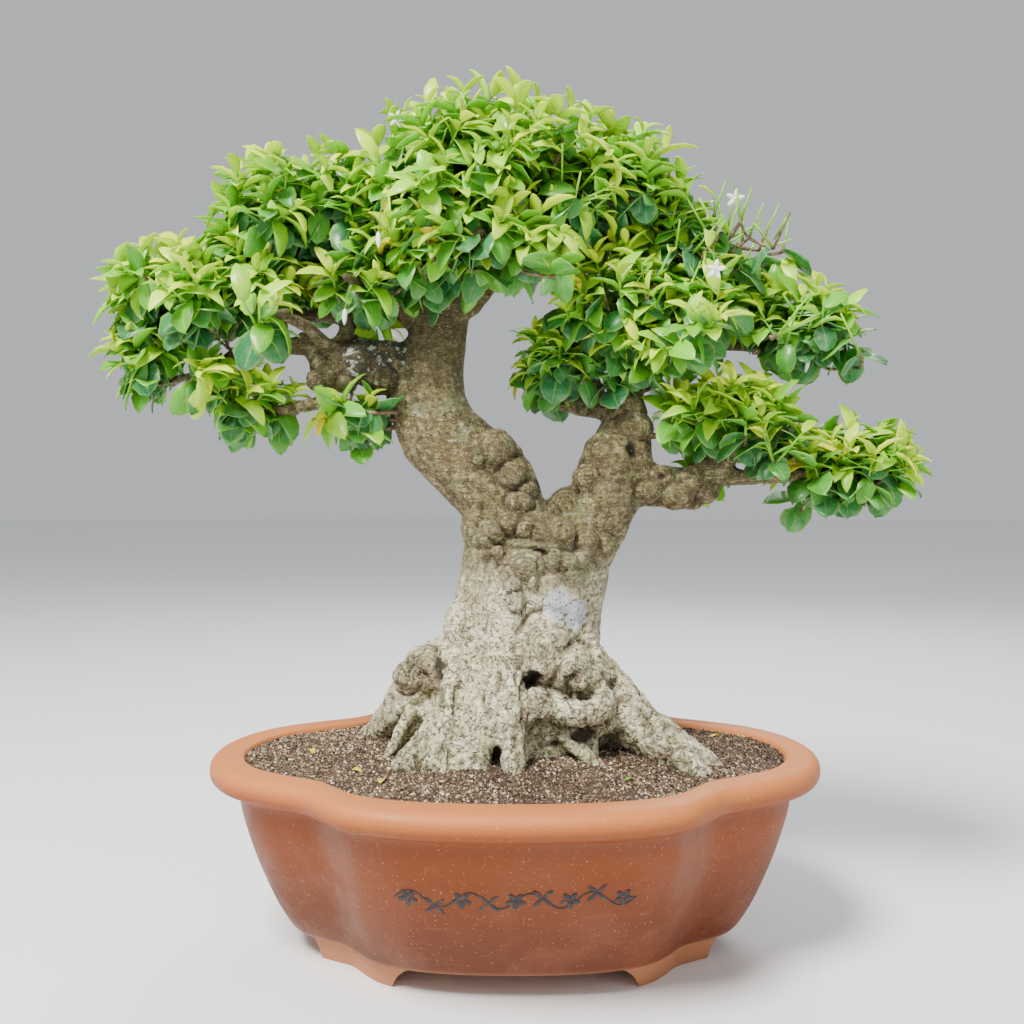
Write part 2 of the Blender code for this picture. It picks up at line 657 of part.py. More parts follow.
def main():
    clear_scene()
    rng = random.Random(SEED)
    parts = new_collection("water jasmine bonsai")
    cutters = new_collection("cutters")
    pot = build_pot(parts, cutters)
    paint(pot, (0.50, 0.19, 0.09), 0.6)
    for name, side in (("drain_screen_left", -1), ("drain_screen_right", 1)):
        screen = build_screen(name, side * DRAIN_X, parts)
        paint(screen, (0.03, 0.03, 0.03), 0.6)
    carriers = carrier_points()
    starts = shoot_starts(carriers)
    wood = build_wood(starts, carriers, parts)
    paint(wood, (0.36, 0.28, 0.19), 0.85)
    soil = build_soil(wood, parts, cutters)
    paint(soil, (0.03, 0.022, 0.018), 0.95)
    fixed = [surface_tree(piece) for piece in (wood, soil, pot)]
    shoots = [build_shoot(number, place, heading, rng, parts) for number, (place, heading) in enumerate(starts)]
    sprays = [surface_tree(shoot[0]) for shoot in shoots]
    for number, shoot in enumerate(shoots):
        add_leaves(shoot, fixed + sprays[:number] + sprays[number + 1:], rng)
        sprays[number] = surface_tree(shoot[0])
        paint(shoot[0], (0.14, 0.30, 0.06), 0.5)


main()
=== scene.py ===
# %% [markdown]
# # A water jasmine bonsai in its lobed clay pot
# This lesson dresses a plain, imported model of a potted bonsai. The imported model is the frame: it says
# how big everything is and where it stands. Each step below makes one part of the real thing, from
# the clay to the flower buds, and says how it could be made and why this way was picked. Everything
# is in metres, with +Z up and the front towards -Y.

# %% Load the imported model
import math
import random

import bmesh
import bpy
import numpy as np
from mathutils import Matrix, Vector, noise
from mathutils.bvhtree import BVHTree


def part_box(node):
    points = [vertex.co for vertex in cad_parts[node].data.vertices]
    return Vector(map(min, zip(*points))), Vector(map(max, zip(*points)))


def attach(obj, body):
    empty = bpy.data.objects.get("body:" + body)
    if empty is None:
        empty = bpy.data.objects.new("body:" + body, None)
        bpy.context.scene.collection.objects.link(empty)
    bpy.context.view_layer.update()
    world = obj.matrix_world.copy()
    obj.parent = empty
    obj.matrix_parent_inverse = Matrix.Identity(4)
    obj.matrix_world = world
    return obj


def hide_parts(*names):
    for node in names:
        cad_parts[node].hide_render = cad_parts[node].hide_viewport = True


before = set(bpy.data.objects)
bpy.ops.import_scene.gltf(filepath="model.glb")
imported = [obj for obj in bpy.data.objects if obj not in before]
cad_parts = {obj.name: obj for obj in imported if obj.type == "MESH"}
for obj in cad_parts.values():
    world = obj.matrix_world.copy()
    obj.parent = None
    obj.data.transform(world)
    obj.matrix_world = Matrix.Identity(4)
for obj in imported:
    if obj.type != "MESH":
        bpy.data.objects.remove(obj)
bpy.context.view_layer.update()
MM = 0.001
BODY = "root"

# %% [markdown]
# ## Camera, floor and light
# The camera stands level with the lower leaves, a little above the middle of the trunk, and looks almost
# level. Its height follows from how far the pot's rim opens as an ellipse. The floor could be a curved
# studio sweep, but a plain wide disc looks the same from every side, so a disc it is. Three large soft
# lamps and a pale sky keep the shadows gentle, as on a bright cloudy day.

# %% Camera
PICTURE_SIDE = 1024
FOCAL_LENGTH_PIXELS = 1060
SENSOR = 36.0
CAMERA_PLACE = (-0.0029, -0.770, 0.324)
CAMERA_DIP = math.atan(17 / FOCAL_LENGTH_PIXELS)
CAMERA_TURN = math.atan(1 / FOCAL_LENGTH_PIXELS)

lens = bpy.data.cameras.new("camera")
lens.sensor_width = SENSOR
lens.lens = SENSOR * FOCAL_LENGTH_PIXELS / PICTURE_SIDE
lens.clip_start = 0.01
camera = bpy.data.objects.new("camera", lens)
camera.location = CAMERA_PLACE
camera.rotation_euler = (math.pi / 2 - CAMERA_DIP, 0.0, -CAMERA_TURN)
bpy.context.scene.collection.objects.link(camera)
bpy.context.scene.camera = camera
print("camera with a lens of", round(lens.lens, 1), "mm")


# %% Colours as a painter reads them
def colour(red, green, blue):
    """A colour given in 0 to 255 steps, as the linear values that a shader wants."""
    def linear(step):
        share = step / 255
        return share / 12.92 if share <= 0.04045 else ((share + 0.055) / 1.055) ** 2.4
    return (linear(red), linear(green), linear(blue), 1.0)


# %% Small helpers for shader nodes
def feed(tree, socket, value):
    """Links a socket to another one, or sets its plain value."""
    if isinstance(value, bpy.types.NodeSocket):
        tree.links.new(value, socket)
    else:
        socket.default_value = value


def add_node(tree, kind, inputs=None, **settings):
    """A shader node with its settings, and with values or links on its inputs."""
    made = tree.nodes.new(kind)
    for name, value in settings.items():
        setattr(made, name, value)
    for socket, value in (inputs or {}).items():
        feed(tree, made.inputs[socket], value)
    return made


def mix(tree, share, first, second, blend="MIX"):
    """The colour between two colours, or one laid over the other with a blend mode."""
    made = add_node(tree, "ShaderNodeMix", data_type="RGBA", blend_type=blend)
    for socket, value in ((0, share), (6, first), (7, second)):
        feed(tree, made.inputs[socket], value)
    return made.outputs[2]


def maths(tree, operation, first, second=0.0, clamp=False):
    made = add_node(tree, "ShaderNodeMath", {0: first, 1: second}, operation=operation, use_clamp=clamp)
    return made.outputs[0]


def ramp(tree, value, low, high, start=0.0, end=1.0):
    """A value's way from low to high, eased and laid out from start to end."""
    made = add_node(tree, "ShaderNodeMapRange", {0: value, 1: low, 2: high, 3: start, 4: end},
                    interpolation_type="SMOOTHSTEP")
    return made.outputs[0]


def attribute(tree, name):
    return add_node(tree, "ShaderNodeAttribute", attribute_name=name).outputs["Fac"]


def new_material(name):
    """A material, its node tree, its Principled shader and the object's own coordinates."""
    material = bpy.data.materials.new(name)
    material.use_nodes = True
    tree = material.node_tree
    place = add_node(tree, "ShaderNodeTexCoord").outputs["Object"]
    return material, tree, tree.nodes["Principled BSDF"], place


# %% Helpers for meshes and objects
def apply_modifiers(obj):
    graph = bpy.context.evaluated_depsgraph_get()
    mesh = bpy.data.meshes.new_from_object(obj.evaluated_get(graph))
    obj.modifiers.clear()
    old = obj.data
    obj.data = mesh
    bpy.data.meshes.remove(old)


def new_object(name, mesh, *materials, smooth=True):
    obj = bpy.data.objects.new(name, mesh)
    bpy.context.scene.collection.objects.link(obj)
    mesh.materials.clear()
    for material in materials:
        mesh.materials.append(material)
    if smooth:
        mesh.shade_smooth()
    else:
        mesh.shade_flat()
    return obj


def mesh_from(bm, name):
    """Turns a bmesh into a mesh whose faces point outwards."""
    bmesh.ops.recalc_face_normals(bm, faces=bm.faces)
    if bm.calc_volume(signed=True) < 0:
        bmesh.ops.reverse_faces(bm, faces=bm.faces)
    mesh = bpy.data.meshes.new(name)
    bm.to_mesh(mesh)
    bm.free()
    return mesh


def count_triangles(obj):
    obj.data.calc_loop_triangles()
    return len(obj.data.loop_triangles)


def hand_in(obj, slot, *nodes):
    """Makes a finished piece part of the object: it rides on the body and stands for its nodes."""
    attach(obj, BODY)
    if nodes:
        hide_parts(*nodes)
    print(f"{obj.name}: {count_triangles(obj)} triangles, for {', '.join(nodes) or 'no node'}")


# %% Floor
FLOOR_RADIUS = 14.0
FLOOR_DROP = 0.0001

floor_bm = bmesh.new()
bmesh.ops.create_circle(floor_bm, cap_ends=True, segments=96, radius=FLOOR_RADIUS,
                        matrix=Matrix.Translation((0, 0, -FLOOR_DROP)))
floor_mesh = bpy.data.meshes.new("floor")
floor_bm.to_mesh(floor_mesh)
floor_bm.free()
floor_paint, _, floor_shader, _ = new_material("pale floor")
floor_shader.inputs["Base Color"].default_value = (0.92, 0.92, 0.91, 1.0)
floor_shader.inputs["Roughness"].default_value = 0.85
floor = new_object("floor", floor_mesh, floor_paint)
print("floor", 2 * FLOOR_RADIUS, "m wide")


# %% Light
LAMPS = (
    # name, place, width, watts, colour
    ("key lamp", (-0.80, -1.15, 2.10), 0.8, 128.0, (1.0, 0.98, 0.94)),
    ("fill lamp", (1.50, -1.20, 0.95), 1.3, 5.0, (0.95, 0.98, 1.0)),
    ("back lamp", (0.50, 1.50, 1.60), 1.2, 20.0, (1.0, 1.0, 1.0)),
)
LAMP_AIM = Vector((0.0, 0.0, 0.30))
SKY = (0.86, 0.89, 0.93, 1.0)
SKY_STRENGTH = 0.64

for lamp_name, lamp_place, lamp_width, watts, lamp_colour in LAMPS:
    light = bpy.data.lights.new(lamp_name, "AREA")
    light.shape = "DISK"
    light.size = lamp_width
    light.energy = watts
    light.color = lamp_colour
    lamp = bpy.data.objects.new(lamp_name, light)
    lamp.location = lamp_place
    lamp.rotation_euler = (LAMP_AIM - Vector(lamp_place)).to_track_quat("-Z", "Y").to_euler()
    bpy.context.scene.collection.objects.link(lamp)
world = bpy.data.worlds.new("studio")
world.use_nodes = True
world.node_tree.nodes["Background"].inputs["Color"].default_value = SKY
world.node_tree.nodes["Background"].inputs["Strength"].default_value = SKY_STRENGTH
bpy.context.scene.world = world
print(len(LAMPS), "lamps and a pale sky")

# %% [markdown]
# ## Shared finishes
# Clay, bark, soil and leaves all share three effects: fine grain for the bump, soft patches of another
# colour, and scattered small specks. Each could be wired anew in every material. As node groups with
# named inputs they are built once, and each material gives them its own sizes.


# %% Node groups: grain, patches and specks
def new_group(name, inputs, output):
    """An empty node group with float inputs (and a vector Place), and one output."""
    group = bpy.data.node_groups.new(name, "ShaderNodeTree")
    group.interface.new_socket("Place", in_out="INPUT", socket_type="NodeSocketVector")
    for socket, value in inputs.items():
        made = group.interface.new_socket(socket, in_out="INPUT", socket_type="NodeSocketFloat")
        made.default_value = value
    group.interface.new_socket(output, in_out="OUTPUT", socket_type="NodeSocketFloat")
    entry = group.nodes.new("NodeGroupInput")
    leave = group.nodes.new("NodeGroupOutput")
    return group, entry.outputs, leave.inputs[output]


def build_grain():
    """Height of a surface with two sizes of grain on it."""
    group, given, result = new_group("grain", {"Coarse": 200.0, "Fine": 900.0, "Fine share": 0.3}, "Height")
    coarse = add_node(group, "ShaderNodeTexNoise", {"Vector": given["Place"], "Scale": given["Coarse"],
                                                    "Detail": 4.0, "Roughness": 0.6})
    fine = add_node(group, "ShaderNodeTexNoise", {"Vector": given["Place"], "Scale": given["Fine"],
                                                  "Detail": 2.0})
    small = maths(group, "MULTIPLY", fine.outputs["Fac"], given["Fine share"])
    feed(group, result, maths(group, "ADD", coarse.outputs["Fac"], small))
    return group


def build_patches():
    """Mask of soft-edged patches: a higher Level leaves fewer of them."""
    group, given, result = new_group("patches", {"Scale": 30.0, "Level": 0.55, "Edge": 0.06}, "Mask")
    cloud = add_node(group, "ShaderNodeTexNoise", {"Vector": given["Place"], "Scale": given["Scale"],
                                                   "Detail": 6.0, "Roughness": 0.62})
    top = maths(group, "ADD", given["Level"], given["Edge"])
    feed(group, result, ramp(group, cloud.outputs["Fac"], given["Level"], top))
    return group


def build_specks():
    """Mask of small scattered specks. Pitch is cells a metre, Size the speck's share of its cell."""
    group, given, result = new_group("specks", {"Pitch": 300.0, "Size": 0.25, "Share": 0.5}, "Mask")
    cells = add_node(group, "ShaderNodeTexVoronoi", {"Vector": given["Place"], "Scale": given["Pitch"]})
    middle = maths(group, "MULTIPLY", given["Size"], 0.6)
    spot = ramp(group, cells.outputs["Distance"], middle, given["Size"], 1.0, 0.0)
    channels = add_node(group, "ShaderNodeSeparateColor", {"Color": cells.outputs["Color"]})
    chosen = maths(group, "LESS_THAN", channels.outputs["Red"], given["Share"])
    feed(group, result, maths(group, "MULTIPLY", spot, chosen))
    return group


GRAIN = build_grain()
PATCHES = build_patches()
SPECKS = build_specks()


def effect(tree, group, place, **values):
    """Puts a shared effect in a material with its own values. An underscore stands for a space."""
    made = add_node(tree, "ShaderNodeGroup", node_tree=group)
    feed(tree, made.inputs["Place"], place)
    for name, value in values.items():
        feed(tree, made.inputs[name.replace("_", " ")], value)
    return made.outputs[0]


def add_bump(tree, shader, height, distance, strength=1.0):
    made = add_node(tree, "ShaderNodeBump", {"Height": height, "Distance": distance, "Strength": strength})
    feed(tree, shader.inputs["Normal"], made.outputs["Normal"])


print("groups:", ", ".join(group.name for group in (GRAIN, PATCHES, SPECKS)))

# %% [markdown]
# ## The clay pot
# The pot was pressed in one piece: four bulging lobes with soft creases between them, a flat rolled
# lip, a hollow under the lip, and four bracket feet. It could be cut from a subdivided box, but its
# outline follows a rule, so one ring of corners is laid on the outline and then extruded from height
# to height, and each new ring is moved to the outline of its own height.

# %% The four-lobed outline
OUTLINE_BASE = (0.110, 0.050, 0.049, 0.053)
OUTLINE_RIM = (0.127, 0.107, 0.0605, 0.0945)
FRONT_ROUNDNESS = 2.4
SIDE_ROUNDNESS = 2.0
FRONT_STEPS = 10
SIDE_STEPS = 8
OUTLINE_STEPS = 2 * (FRONT_STEPS + SIDE_STEPS)
CREASE_ROUNDS = 1
FRONT_LEFT_CREASE = 0
FRONT_RIGHT_CREASE = FRONT_STEPS


def lobe(half_chord, bulge, roundness, steps):
    """Points along one lobe, as (along the chord, outwards)."""
    angles = np.pi * np.arange(steps) / steps
    along = -np.copysign(np.abs(np.cos(angles)) ** (2 / roundness), np.cos(angles))
    return np.stack([half_chord * along, bulge * np.sin(angles) ** (2 / roundness)], axis=1)


def outline(growth):
    """The outline's corner points, anticlockwise from the front left crease. Growth is 0 at the
    base and 1 at the rim."""
    low, high = np.array(OUTLINE_BASE), np.array(OUTLINE_RIM)
    crease_x, crease_y, front, side = low + (high - low) * growth
    long_lobe = lobe(crease_x, front, FRONT_ROUNDNESS, FRONT_STEPS)
    end_lobe = lobe(crease_y, side, SIDE_ROUNDNESS, SIDE_STEPS)
    points = np.concatenate([
        np.stack([long_lobe[:, 0], -crease_y - long_lobe[:, 1]], axis=1),
        np.stack([crease_x + end_lobe[:, 1], end_lobe[:, 0]], axis=1),
        np.stack([-long_lobe[:, 0], crease_y + long_lobe[:, 1]], axis=1),
        np.stack([-crease_x - end_lobe[:, 1], -end_lobe[:, 0]], axis=1),
    ])
    for _ in range(CREASE_ROUNDS):
        points = 0.25 * np.roll(points, 1, axis=0) + 0.5 * points + 0.25 * np.roll(points, -1, axis=0)
    return points


def bend_through(before, start, end, after, share):
    """A point on the smooth curve that runs through start and end."""
    return 0.5 * (2 * start + (end - before) * share
                  + (2 * before - 5 * start + 4 * end - after) * share ** 2
                  + (3 * start - before - 3 * end + after) * share ** 3)


def wall_points(growth, positions):
    """Points of the outline, where a position counts its corner points and may be a fraction."""
    corners = outline(growth)
    first = np.floor(positions).astype(int)
    share = (positions - first)[:, None]
    before, start, end, after = (corners[(first + k) % OUTLINE_STEPS] for k in (-1, 0, 1, 2))
    return bend_through(before, start, end, after, share)


def smooth_line(points, steps):
    """A smooth line through some points, with so many steps to each stretch."""
    padded = np.array([points[0], *points, points[-1]], float)
    line = [bend_through(*padded[i:i + 4], step / steps)
            for i in range(len(points) - 1) for step in range(steps)]
    return np.array(line + [padded[-1]])


print("outline of", OUTLINE_STEPS, "points, half-width at the rim", round(float(outline(1.0)[:, 0].max()), 4))

# %% Rings that climb the wall
RING = 288
WALL = (
    # height, growth: base edge, wall, hollow under the lip, rolled lip
    (0.0160, -0.060), (0.0163, -0.020), (0.0185, 0.022), (0.0240, 0.090), (0.0400, 0.240), (0.0700, 0.455),
    (0.0980, 0.605), (0.1110, 0.650), (0.1165, 0.690), (0.1205, 0.800), (0.1228, 0.915), (0.1262, 0.983),
    (0.1310, 1.003), (0.1360, 0.985), (0.1391, 0.930), (0.1402, 0.860), (0.1406, 0.760), (0.1401, 0.660),
    (0.1388, 0.600), (0.1350, 0.572),
)
INSIDE = ((0.1350, 0.572), (0.0900, 0.410), (0.0500, 0.190), (0.0300, -0.040), (0.0280, -0.100))
SMOOTH_STEPS = 3
positions_of_ring = np.arange(RING) * OUTLINE_STEPS / RING


def wall_ring(growth, z, scale=1.0):
    return [Vector((x, y, z)) for x, y in scale * wall_points(growth, positions_of_ring)]


def start_ring(bm, places):
    ring = bmesh.ops.create_circle(bm, cap_ends=False, segments=len(places))["verts"]
    for corner, place in zip(ring, places):
        corner.co = place
    return ring


def grow_ring(bm, ring, places):
    """Extrudes a closed ring of corners, moves the new ring to its places and returns it."""
    edges = [bm.edges.get((a, b)) for a, b in zip(ring, ring[1:] + ring[:1])]
    grown = {item for item in bmesh.ops.extrude_edge_only(bm, edges=edges)["geom"]
             if isinstance(item, bmesh.types.BMVert)}
    twins = [next(edge.other_vert(corner) for edge in corner.link_edges if edge.other_vert(corner) in grown)
             for corner in ring]
    for twin, place in zip(twins, places):
        twin.co = place
    return twins


def close_ring(bm, ring):
    bmesh.ops.contextual_create(bm, geom=[bm.edges.get((a, b)) for a, b in zip(ring, ring[1:] + ring[:1])])


def loft(rings):
    """A closed body that climbs through rings of places."""
    bm = bmesh.new()
    ring = start_ring(bm, rings[0])
    close_ring(bm, ring)
    for places in rings[1:]:
        ring = grow_ring(bm, ring, places)
    close_ring(bm, ring)
    return bm


wall_profile = smooth_line(WALL, SMOOTH_STEPS)
pot_profile = np.concatenate([wall_profile, smooth_line(INSIDE, SMOOTH_STEPS)[1:]])
pot_bm = loft([wall_ring(growth, z) for z, growth in pot_profile])
print("pot wall of", len(pot_profile), "rings of", RING, "corners")

# %% Bracket feet
FOOT_LEVELS = (
    # height, share of the arms' full length, growth of the outer side
    (0.0180, 1.04, -0.075), (0.0158, 1.00, -0.080), (0.0128, 0.93, -0.088), (0.0085, 0.86, -0.100),
    (0.0040, 0.82, -0.112), (0.0012, 0.80, -0.118), (0.0000, 0.79, -0.128),
)
FOOT_THICKNESS = 0.17
FOOT_ARM_FRONT = 3.0
FOOT_ARM_SIDE = 2.0
FOOT_STEPS = 14


def foot_ring(z, share, growth, side_x, side_y):
    """The footprint of one bracket foot: out along its outer side and back along its inner side."""
    positions = np.linspace(-FOOT_ARM_SIDE * share, FOOT_ARM_FRONT * share, FOOT_STEPS)
    outer = np.abs(wall_points(growth, positions))
    inner = np.abs(wall_points(growth - FOOT_THICKNESS, positions[::-1]))
    return [Vector((side_x * x, side_y * y, z)) for x, y in np.concatenate([outer, inner])]


def bracket_foot(side_x, side_y):
    bm = loft([foot_ring(z, share, growth, side_x, side_y) for z, share, growth in FOOT_LEVELS])
    return new_object("foot", mesh_from(bm, "foot"))


DRAIN_X = 0.060
DRAIN_RADIUS = 0.008
DRAIN_TOP = 0.028


def drain_cutter(x):
    bm = bmesh.new()
    bmesh.ops.create_cone(bm, cap_ends=True, segments=48, radius1=DRAIN_RADIUS, radius2=DRAIN_RADIUS,
                          depth=0.04, matrix=Matrix.Translation((x, 0, DRAIN_TOP)))
    return new_object("drain cutter", mesh_from(bm, "drain cutter"))


def combine(obj, operation, others):
    """Adds or cuts other objects, and removes them."""
    for other in others:
        modifier = obj.modifiers.new("combine", "BOOLEAN")
        modifier.operation = operation
        modifier.solver = "EXACT"
        modifier.object = other
        apply_modifiers(obj)
        bpy.data.objects.remove(other, do_unlink=True)


pot = new_object("clay_pot", mesh_from(pot_bm, "clay_pot"))
combine(pot, "UNION", [bracket_foot(side_x, side_y) for side_x in (-1, 1) for side_y in (-1, 1)])
combine(pot, "DIFFERENCE", [drain_cutter(side * DRAIN_X) for side in (-1, 1)])
print("pot with feet and drains:", count_triangles(pot), "triangles")

# %% [markdown]
# ### Fired clay
# The clay is unglazed terracotta, browner and duller towards the feet, with cream and orange specks
# of grog that the fingers have dragged about, and pale dust near the table. The top of the lip is
# painted a lighter orange as a painted highlight, and a band of the wall under the lip is darker as
# painted shade. Paint layers in an image would do it, but noise on the object's own coordinates has no seams.


# %% Clay material
def build_clay():
    material, tree, shader, place = new_material("terracotta")
    height = add_node(tree, "ShaderNodeSeparateXYZ", {"Vector": place}).outputs["Z"]
    upper = ramp(tree, height, 0.030, 0.135)
    base = mix(tree, upper, colour(94, 42, 8), colour(138, 64, 10))
    cloud = effect(tree, PATCHES, place, Scale=16.0, Level=0.42, Edge=0.22)
    base = mix(tree, maths(tree, "MULTIPLY", cloud, 0.45), base, colour(122, 58, 14))
    drag = add_node(tree, "ShaderNodeMapping", {"Vector": place, "Scale": (1.0, 1.0, 3.2)}).outputs["Vector"]
    smears = effect(tree, PATCHES, drag, Scale=55.0, Level=0.56, Edge=0.14)
    base = mix(tree, maths(tree, "MULTIPLY", smears, 0.14), base, colour(176, 96, 40))
    soot = effect(tree, PATCHES, place, Scale=34.0, Level=0.60, Edge=0.10)
    base = mix(tree, maths(tree, "MULTIPLY", soot, 0.30), base, colour(96, 38, 18))
    # painted shade: a darker band on the wall in the hollow under the overhanging lip
    shade_under_lip = maths(tree, "MULTIPLY", ramp(tree, height, 0.100, 0.114), ramp(tree, height, 0.125, 0.117))
    base = mix(tree, maths(tree, "MULTIPLY", shade_under_lip, 0.4), base, colour(96, 44, 12))
    # painted highlight: the top of the rolled lip is painted a lighter orange
    lip_highlight = ramp(tree, height, 0.124, 0.138)
    base = mix(tree, maths(tree, "MULTIPLY", lip_highlight, 0.60), base, colour(222, 140, 78))
    fine = effect(tree, SPECKS, place, Pitch=640.0, Size=0.26, Share=0.17)
    base = mix(tree, maths(tree, "MULTIPLY", fine, 0.6), base, colour(224, 146, 84))
    grog = effect(tree, SPECKS, place, Pitch=260.0, Size=0.12, Share=0.24)
    base = mix(tree, maths(tree, "MULTIPLY", grog, 0.6), base, colour(236, 190, 130))
    dust = ramp(tree, height, 0.021, 0.013)
    base = mix(tree, maths(tree, "MULTIPLY", dust, 0.62), base, colour(206, 142, 100))
    feed(tree, shader.inputs["Base Color"], base)
    feed(tree, shader.inputs["Roughness"], ramp(tree, cloud, 0.0, 1.0, 0.60, 0.46))
    shader.inputs["Specular IOR Level"].default_value = 0.34
    grain = effect(tree, GRAIN, place, Coarse=210.0, Fine=1300.0, Fine_share=0.5)
    add_bump(tree, shader, grain, 0.0006, 0.55)
    return material


CLAY = build_clay()
pot.data.materials.append(CLAY)
pot.data.shade_smooth()
pot.data.set_sharp_from_angle(angle=math.radians(50))
hand_in(pot, "clay", "pot")

# %% [markdown]
# ## Soil
# The soil is a low mound that runs from wall to wall. A noise-displaced plane would look soft, while
# real potting soil is loose grit, so the mound gets its lumps from noise and then some thousands of
# real grains in four kinds: bark brown, dark peat, tan sand and cream pumice.

# %% The mound
SOIL_EDGE_Z = 0.1365
SOIL_GAP = 0.008
MOUND_SHARES = (0.0, 0.25, 0.55, 0.82, 1.0)
MOUND_HEIGHTS = (0.1482, 0.1478, 0.1462, 0.1412, SOIL_EDGE_Z)
SOIL_RINGS = 46
SOIL_LUMP = 0.0016
SOIL_BOTTOM = 0.0283


def soil_growth(z):
    """How far the pot's inner wall has grown at a height, less the clearance."""
    heights = [level for level, _ in reversed(INSIDE)]
    growths = [growth for _, growth in reversed(INSIDE)]
    return np.interp(z, heights, growths) - SOIL_GAP


def soil_lump(place):
    """Height of the lumps in the soil at a place."""
    broad = noise.noise(place * 38)
    fine = noise.fractal(place * 160, 0.8, 2.1, 3)
    return SOIL_LUMP * (0.8 * broad + 0.42 * fine)


soil_sides = [wall_ring(soil_growth(z), z) for z in np.linspace(SOIL_BOTTOM, SOIL_EDGE_Z - 0.002, 12)]
top_growth = soil_growth(SOIL_EDGE_Z)
soil_tops = [wall_ring(top_growth, np.interp(share, MOUND_SHARES, MOUND_HEIGHTS), share)
             for share in np.linspace(1.0, 0.02, SOIL_RINGS)]
soil_bm = loft(soil_sides + soil_tops)
for corner in soil_bm.verts:
    if corner.co.z > SOIL_EDGE_Z - 0.0001:
        corner.co.z += soil_lump(corner.co)
soil_mesh = mesh_from(soil_bm, "soil_mound")
print("mound of", len(soil_mesh.polygons), "faces")


# %% [markdown]
# ### Grit and potting soil
# One material serves the mound and the grains. Each grain carries a number, its tone, and a colour
# ramp turns tones into the four kinds of grain, so that thousands of grains need only one material.


# %% Soil materials
def tone_ramp(tree, value, stops):
    """Steps or slides between colours, given as (position, colour)."""
    made = add_node(tree, "ShaderNodeValToRGB", {0: value})
    elements = made.color_ramp.elements
    while len(elements) < len(stops):
        elements.new(0.5)
    for element, (position, tone) in zip(elements, stops):
        element.position = position
        element.color = tone
    return made.outputs["Color"]


def build_ground():
    material, tree, shader, place = new_material("potting soil")
    cloud = add_node(tree, "ShaderNodeTexNoise", {"Vector": place, "Scale": 620.0, "Detail": 5.0,
                                                  "Roughness": 0.75}).outputs["Fac"]
    base = tone_ramp(tree, cloud, ((0.34, colour(26, 19, 16)), (0.48, colour(64, 47, 38)),
                                   (0.58, colour(116, 94, 72)), (0.68, colour(180, 158, 126))))
    damp = effect(tree, PATCHES, place, Scale=46.0, Level=0.46, Edge=0.16)
    base = mix(tree, maths(tree, "MULTIPLY", damp, 0.45), base, colour(96, 72, 62), "MULTIPLY")
    feed(tree, shader.inputs["Base Color"], base)
    shader.inputs["Roughness"].default_value = 0.92
    add_bump(tree, shader, effect(tree, GRAIN, place, Coarse=500.0, Fine=1500.0, Fine_share=0.6), 0.0015, 0.9)
    return material


def build_grit():
    material, tree, shader, place = new_material("grit")
    tone = attribute(tree, "tone")
    base = tone_ramp(tree, tone, ((0.0, colour(30, 21, 19)), (0.34, colour(74, 52, 42)),
                                  (0.58, colour(136, 108, 78)), (0.84, colour(198, 176, 138)),
                                  (1.0, colour(240, 228, 198))))
    feed(tree, shader.inputs["Base Color"], base)
    shader.inputs["Roughness"].default_value = 0.85
    add_bump(tree, shader, effect(tree, GRAIN, place, Coarse=900.0, Fine=2200.0, Fine_share=0.4), 0.0004, 0.6)
    return material


GROUND = build_ground()
GRIT = build_grit()
soil = new_object("soil_mound", soil_mesh, GROUND)
hand_in(soil, "soil", "soil")

# %% [markdown]
# ## Trunk, limbs and roots
# Everything woody is one grown body. Sculpting it by hand would be one way. Here a copy of the packed
# wood is the armature. It is remeshed once to lose its facets. Then root ridges, drawn as tubes, and
# burls, made of overlapping balls, are added, and a second voxel remesh fuses all of it into one skin.
# Only a little smoothing follows, so that the creases between the burls stay.


# %% Round tubes along a line
def tubes(name, lines, resolution=1):
    """One mesh of round tubes along lines of (x, y, z, radius), with closed ends."""
    curve = bpy.data.curves.new(name, "CURVE")
    curve.dimensions = "3D"
    curve.bevel_depth = 1.0
    curve.bevel_resolution = resolution
    curve.use_fill_caps = True
    for line in lines:
        spline = curve.splines.new("POLY")
        spline.points.add(len(line) - 1)
        for point, mark in zip(spline.points, line):
            point.co = (*mark[:3], 1.0)
            point.radius = mark[3]
    carrier = bpy.data.objects.new(name, curve)
    bpy.context.scene.collection.objects.link(carrier)
    graph = bpy.context.evaluated_depsgraph_get()
    mesh = bpy.data.meshes.new_from_object(carrier.evaluated_get(graph))
    bpy.data.objects.remove(carrier, do_unlink=True)
    bpy.data.curves.remove(curve)
    bm = bmesh.new()
    bm.from_mesh(mesh)
    bmesh.ops.remove_doubles(bm, verts=bm.verts, dist=0.000001)
    bpy.data.meshes.remove(mesh)
    return mesh_from(bm, name)


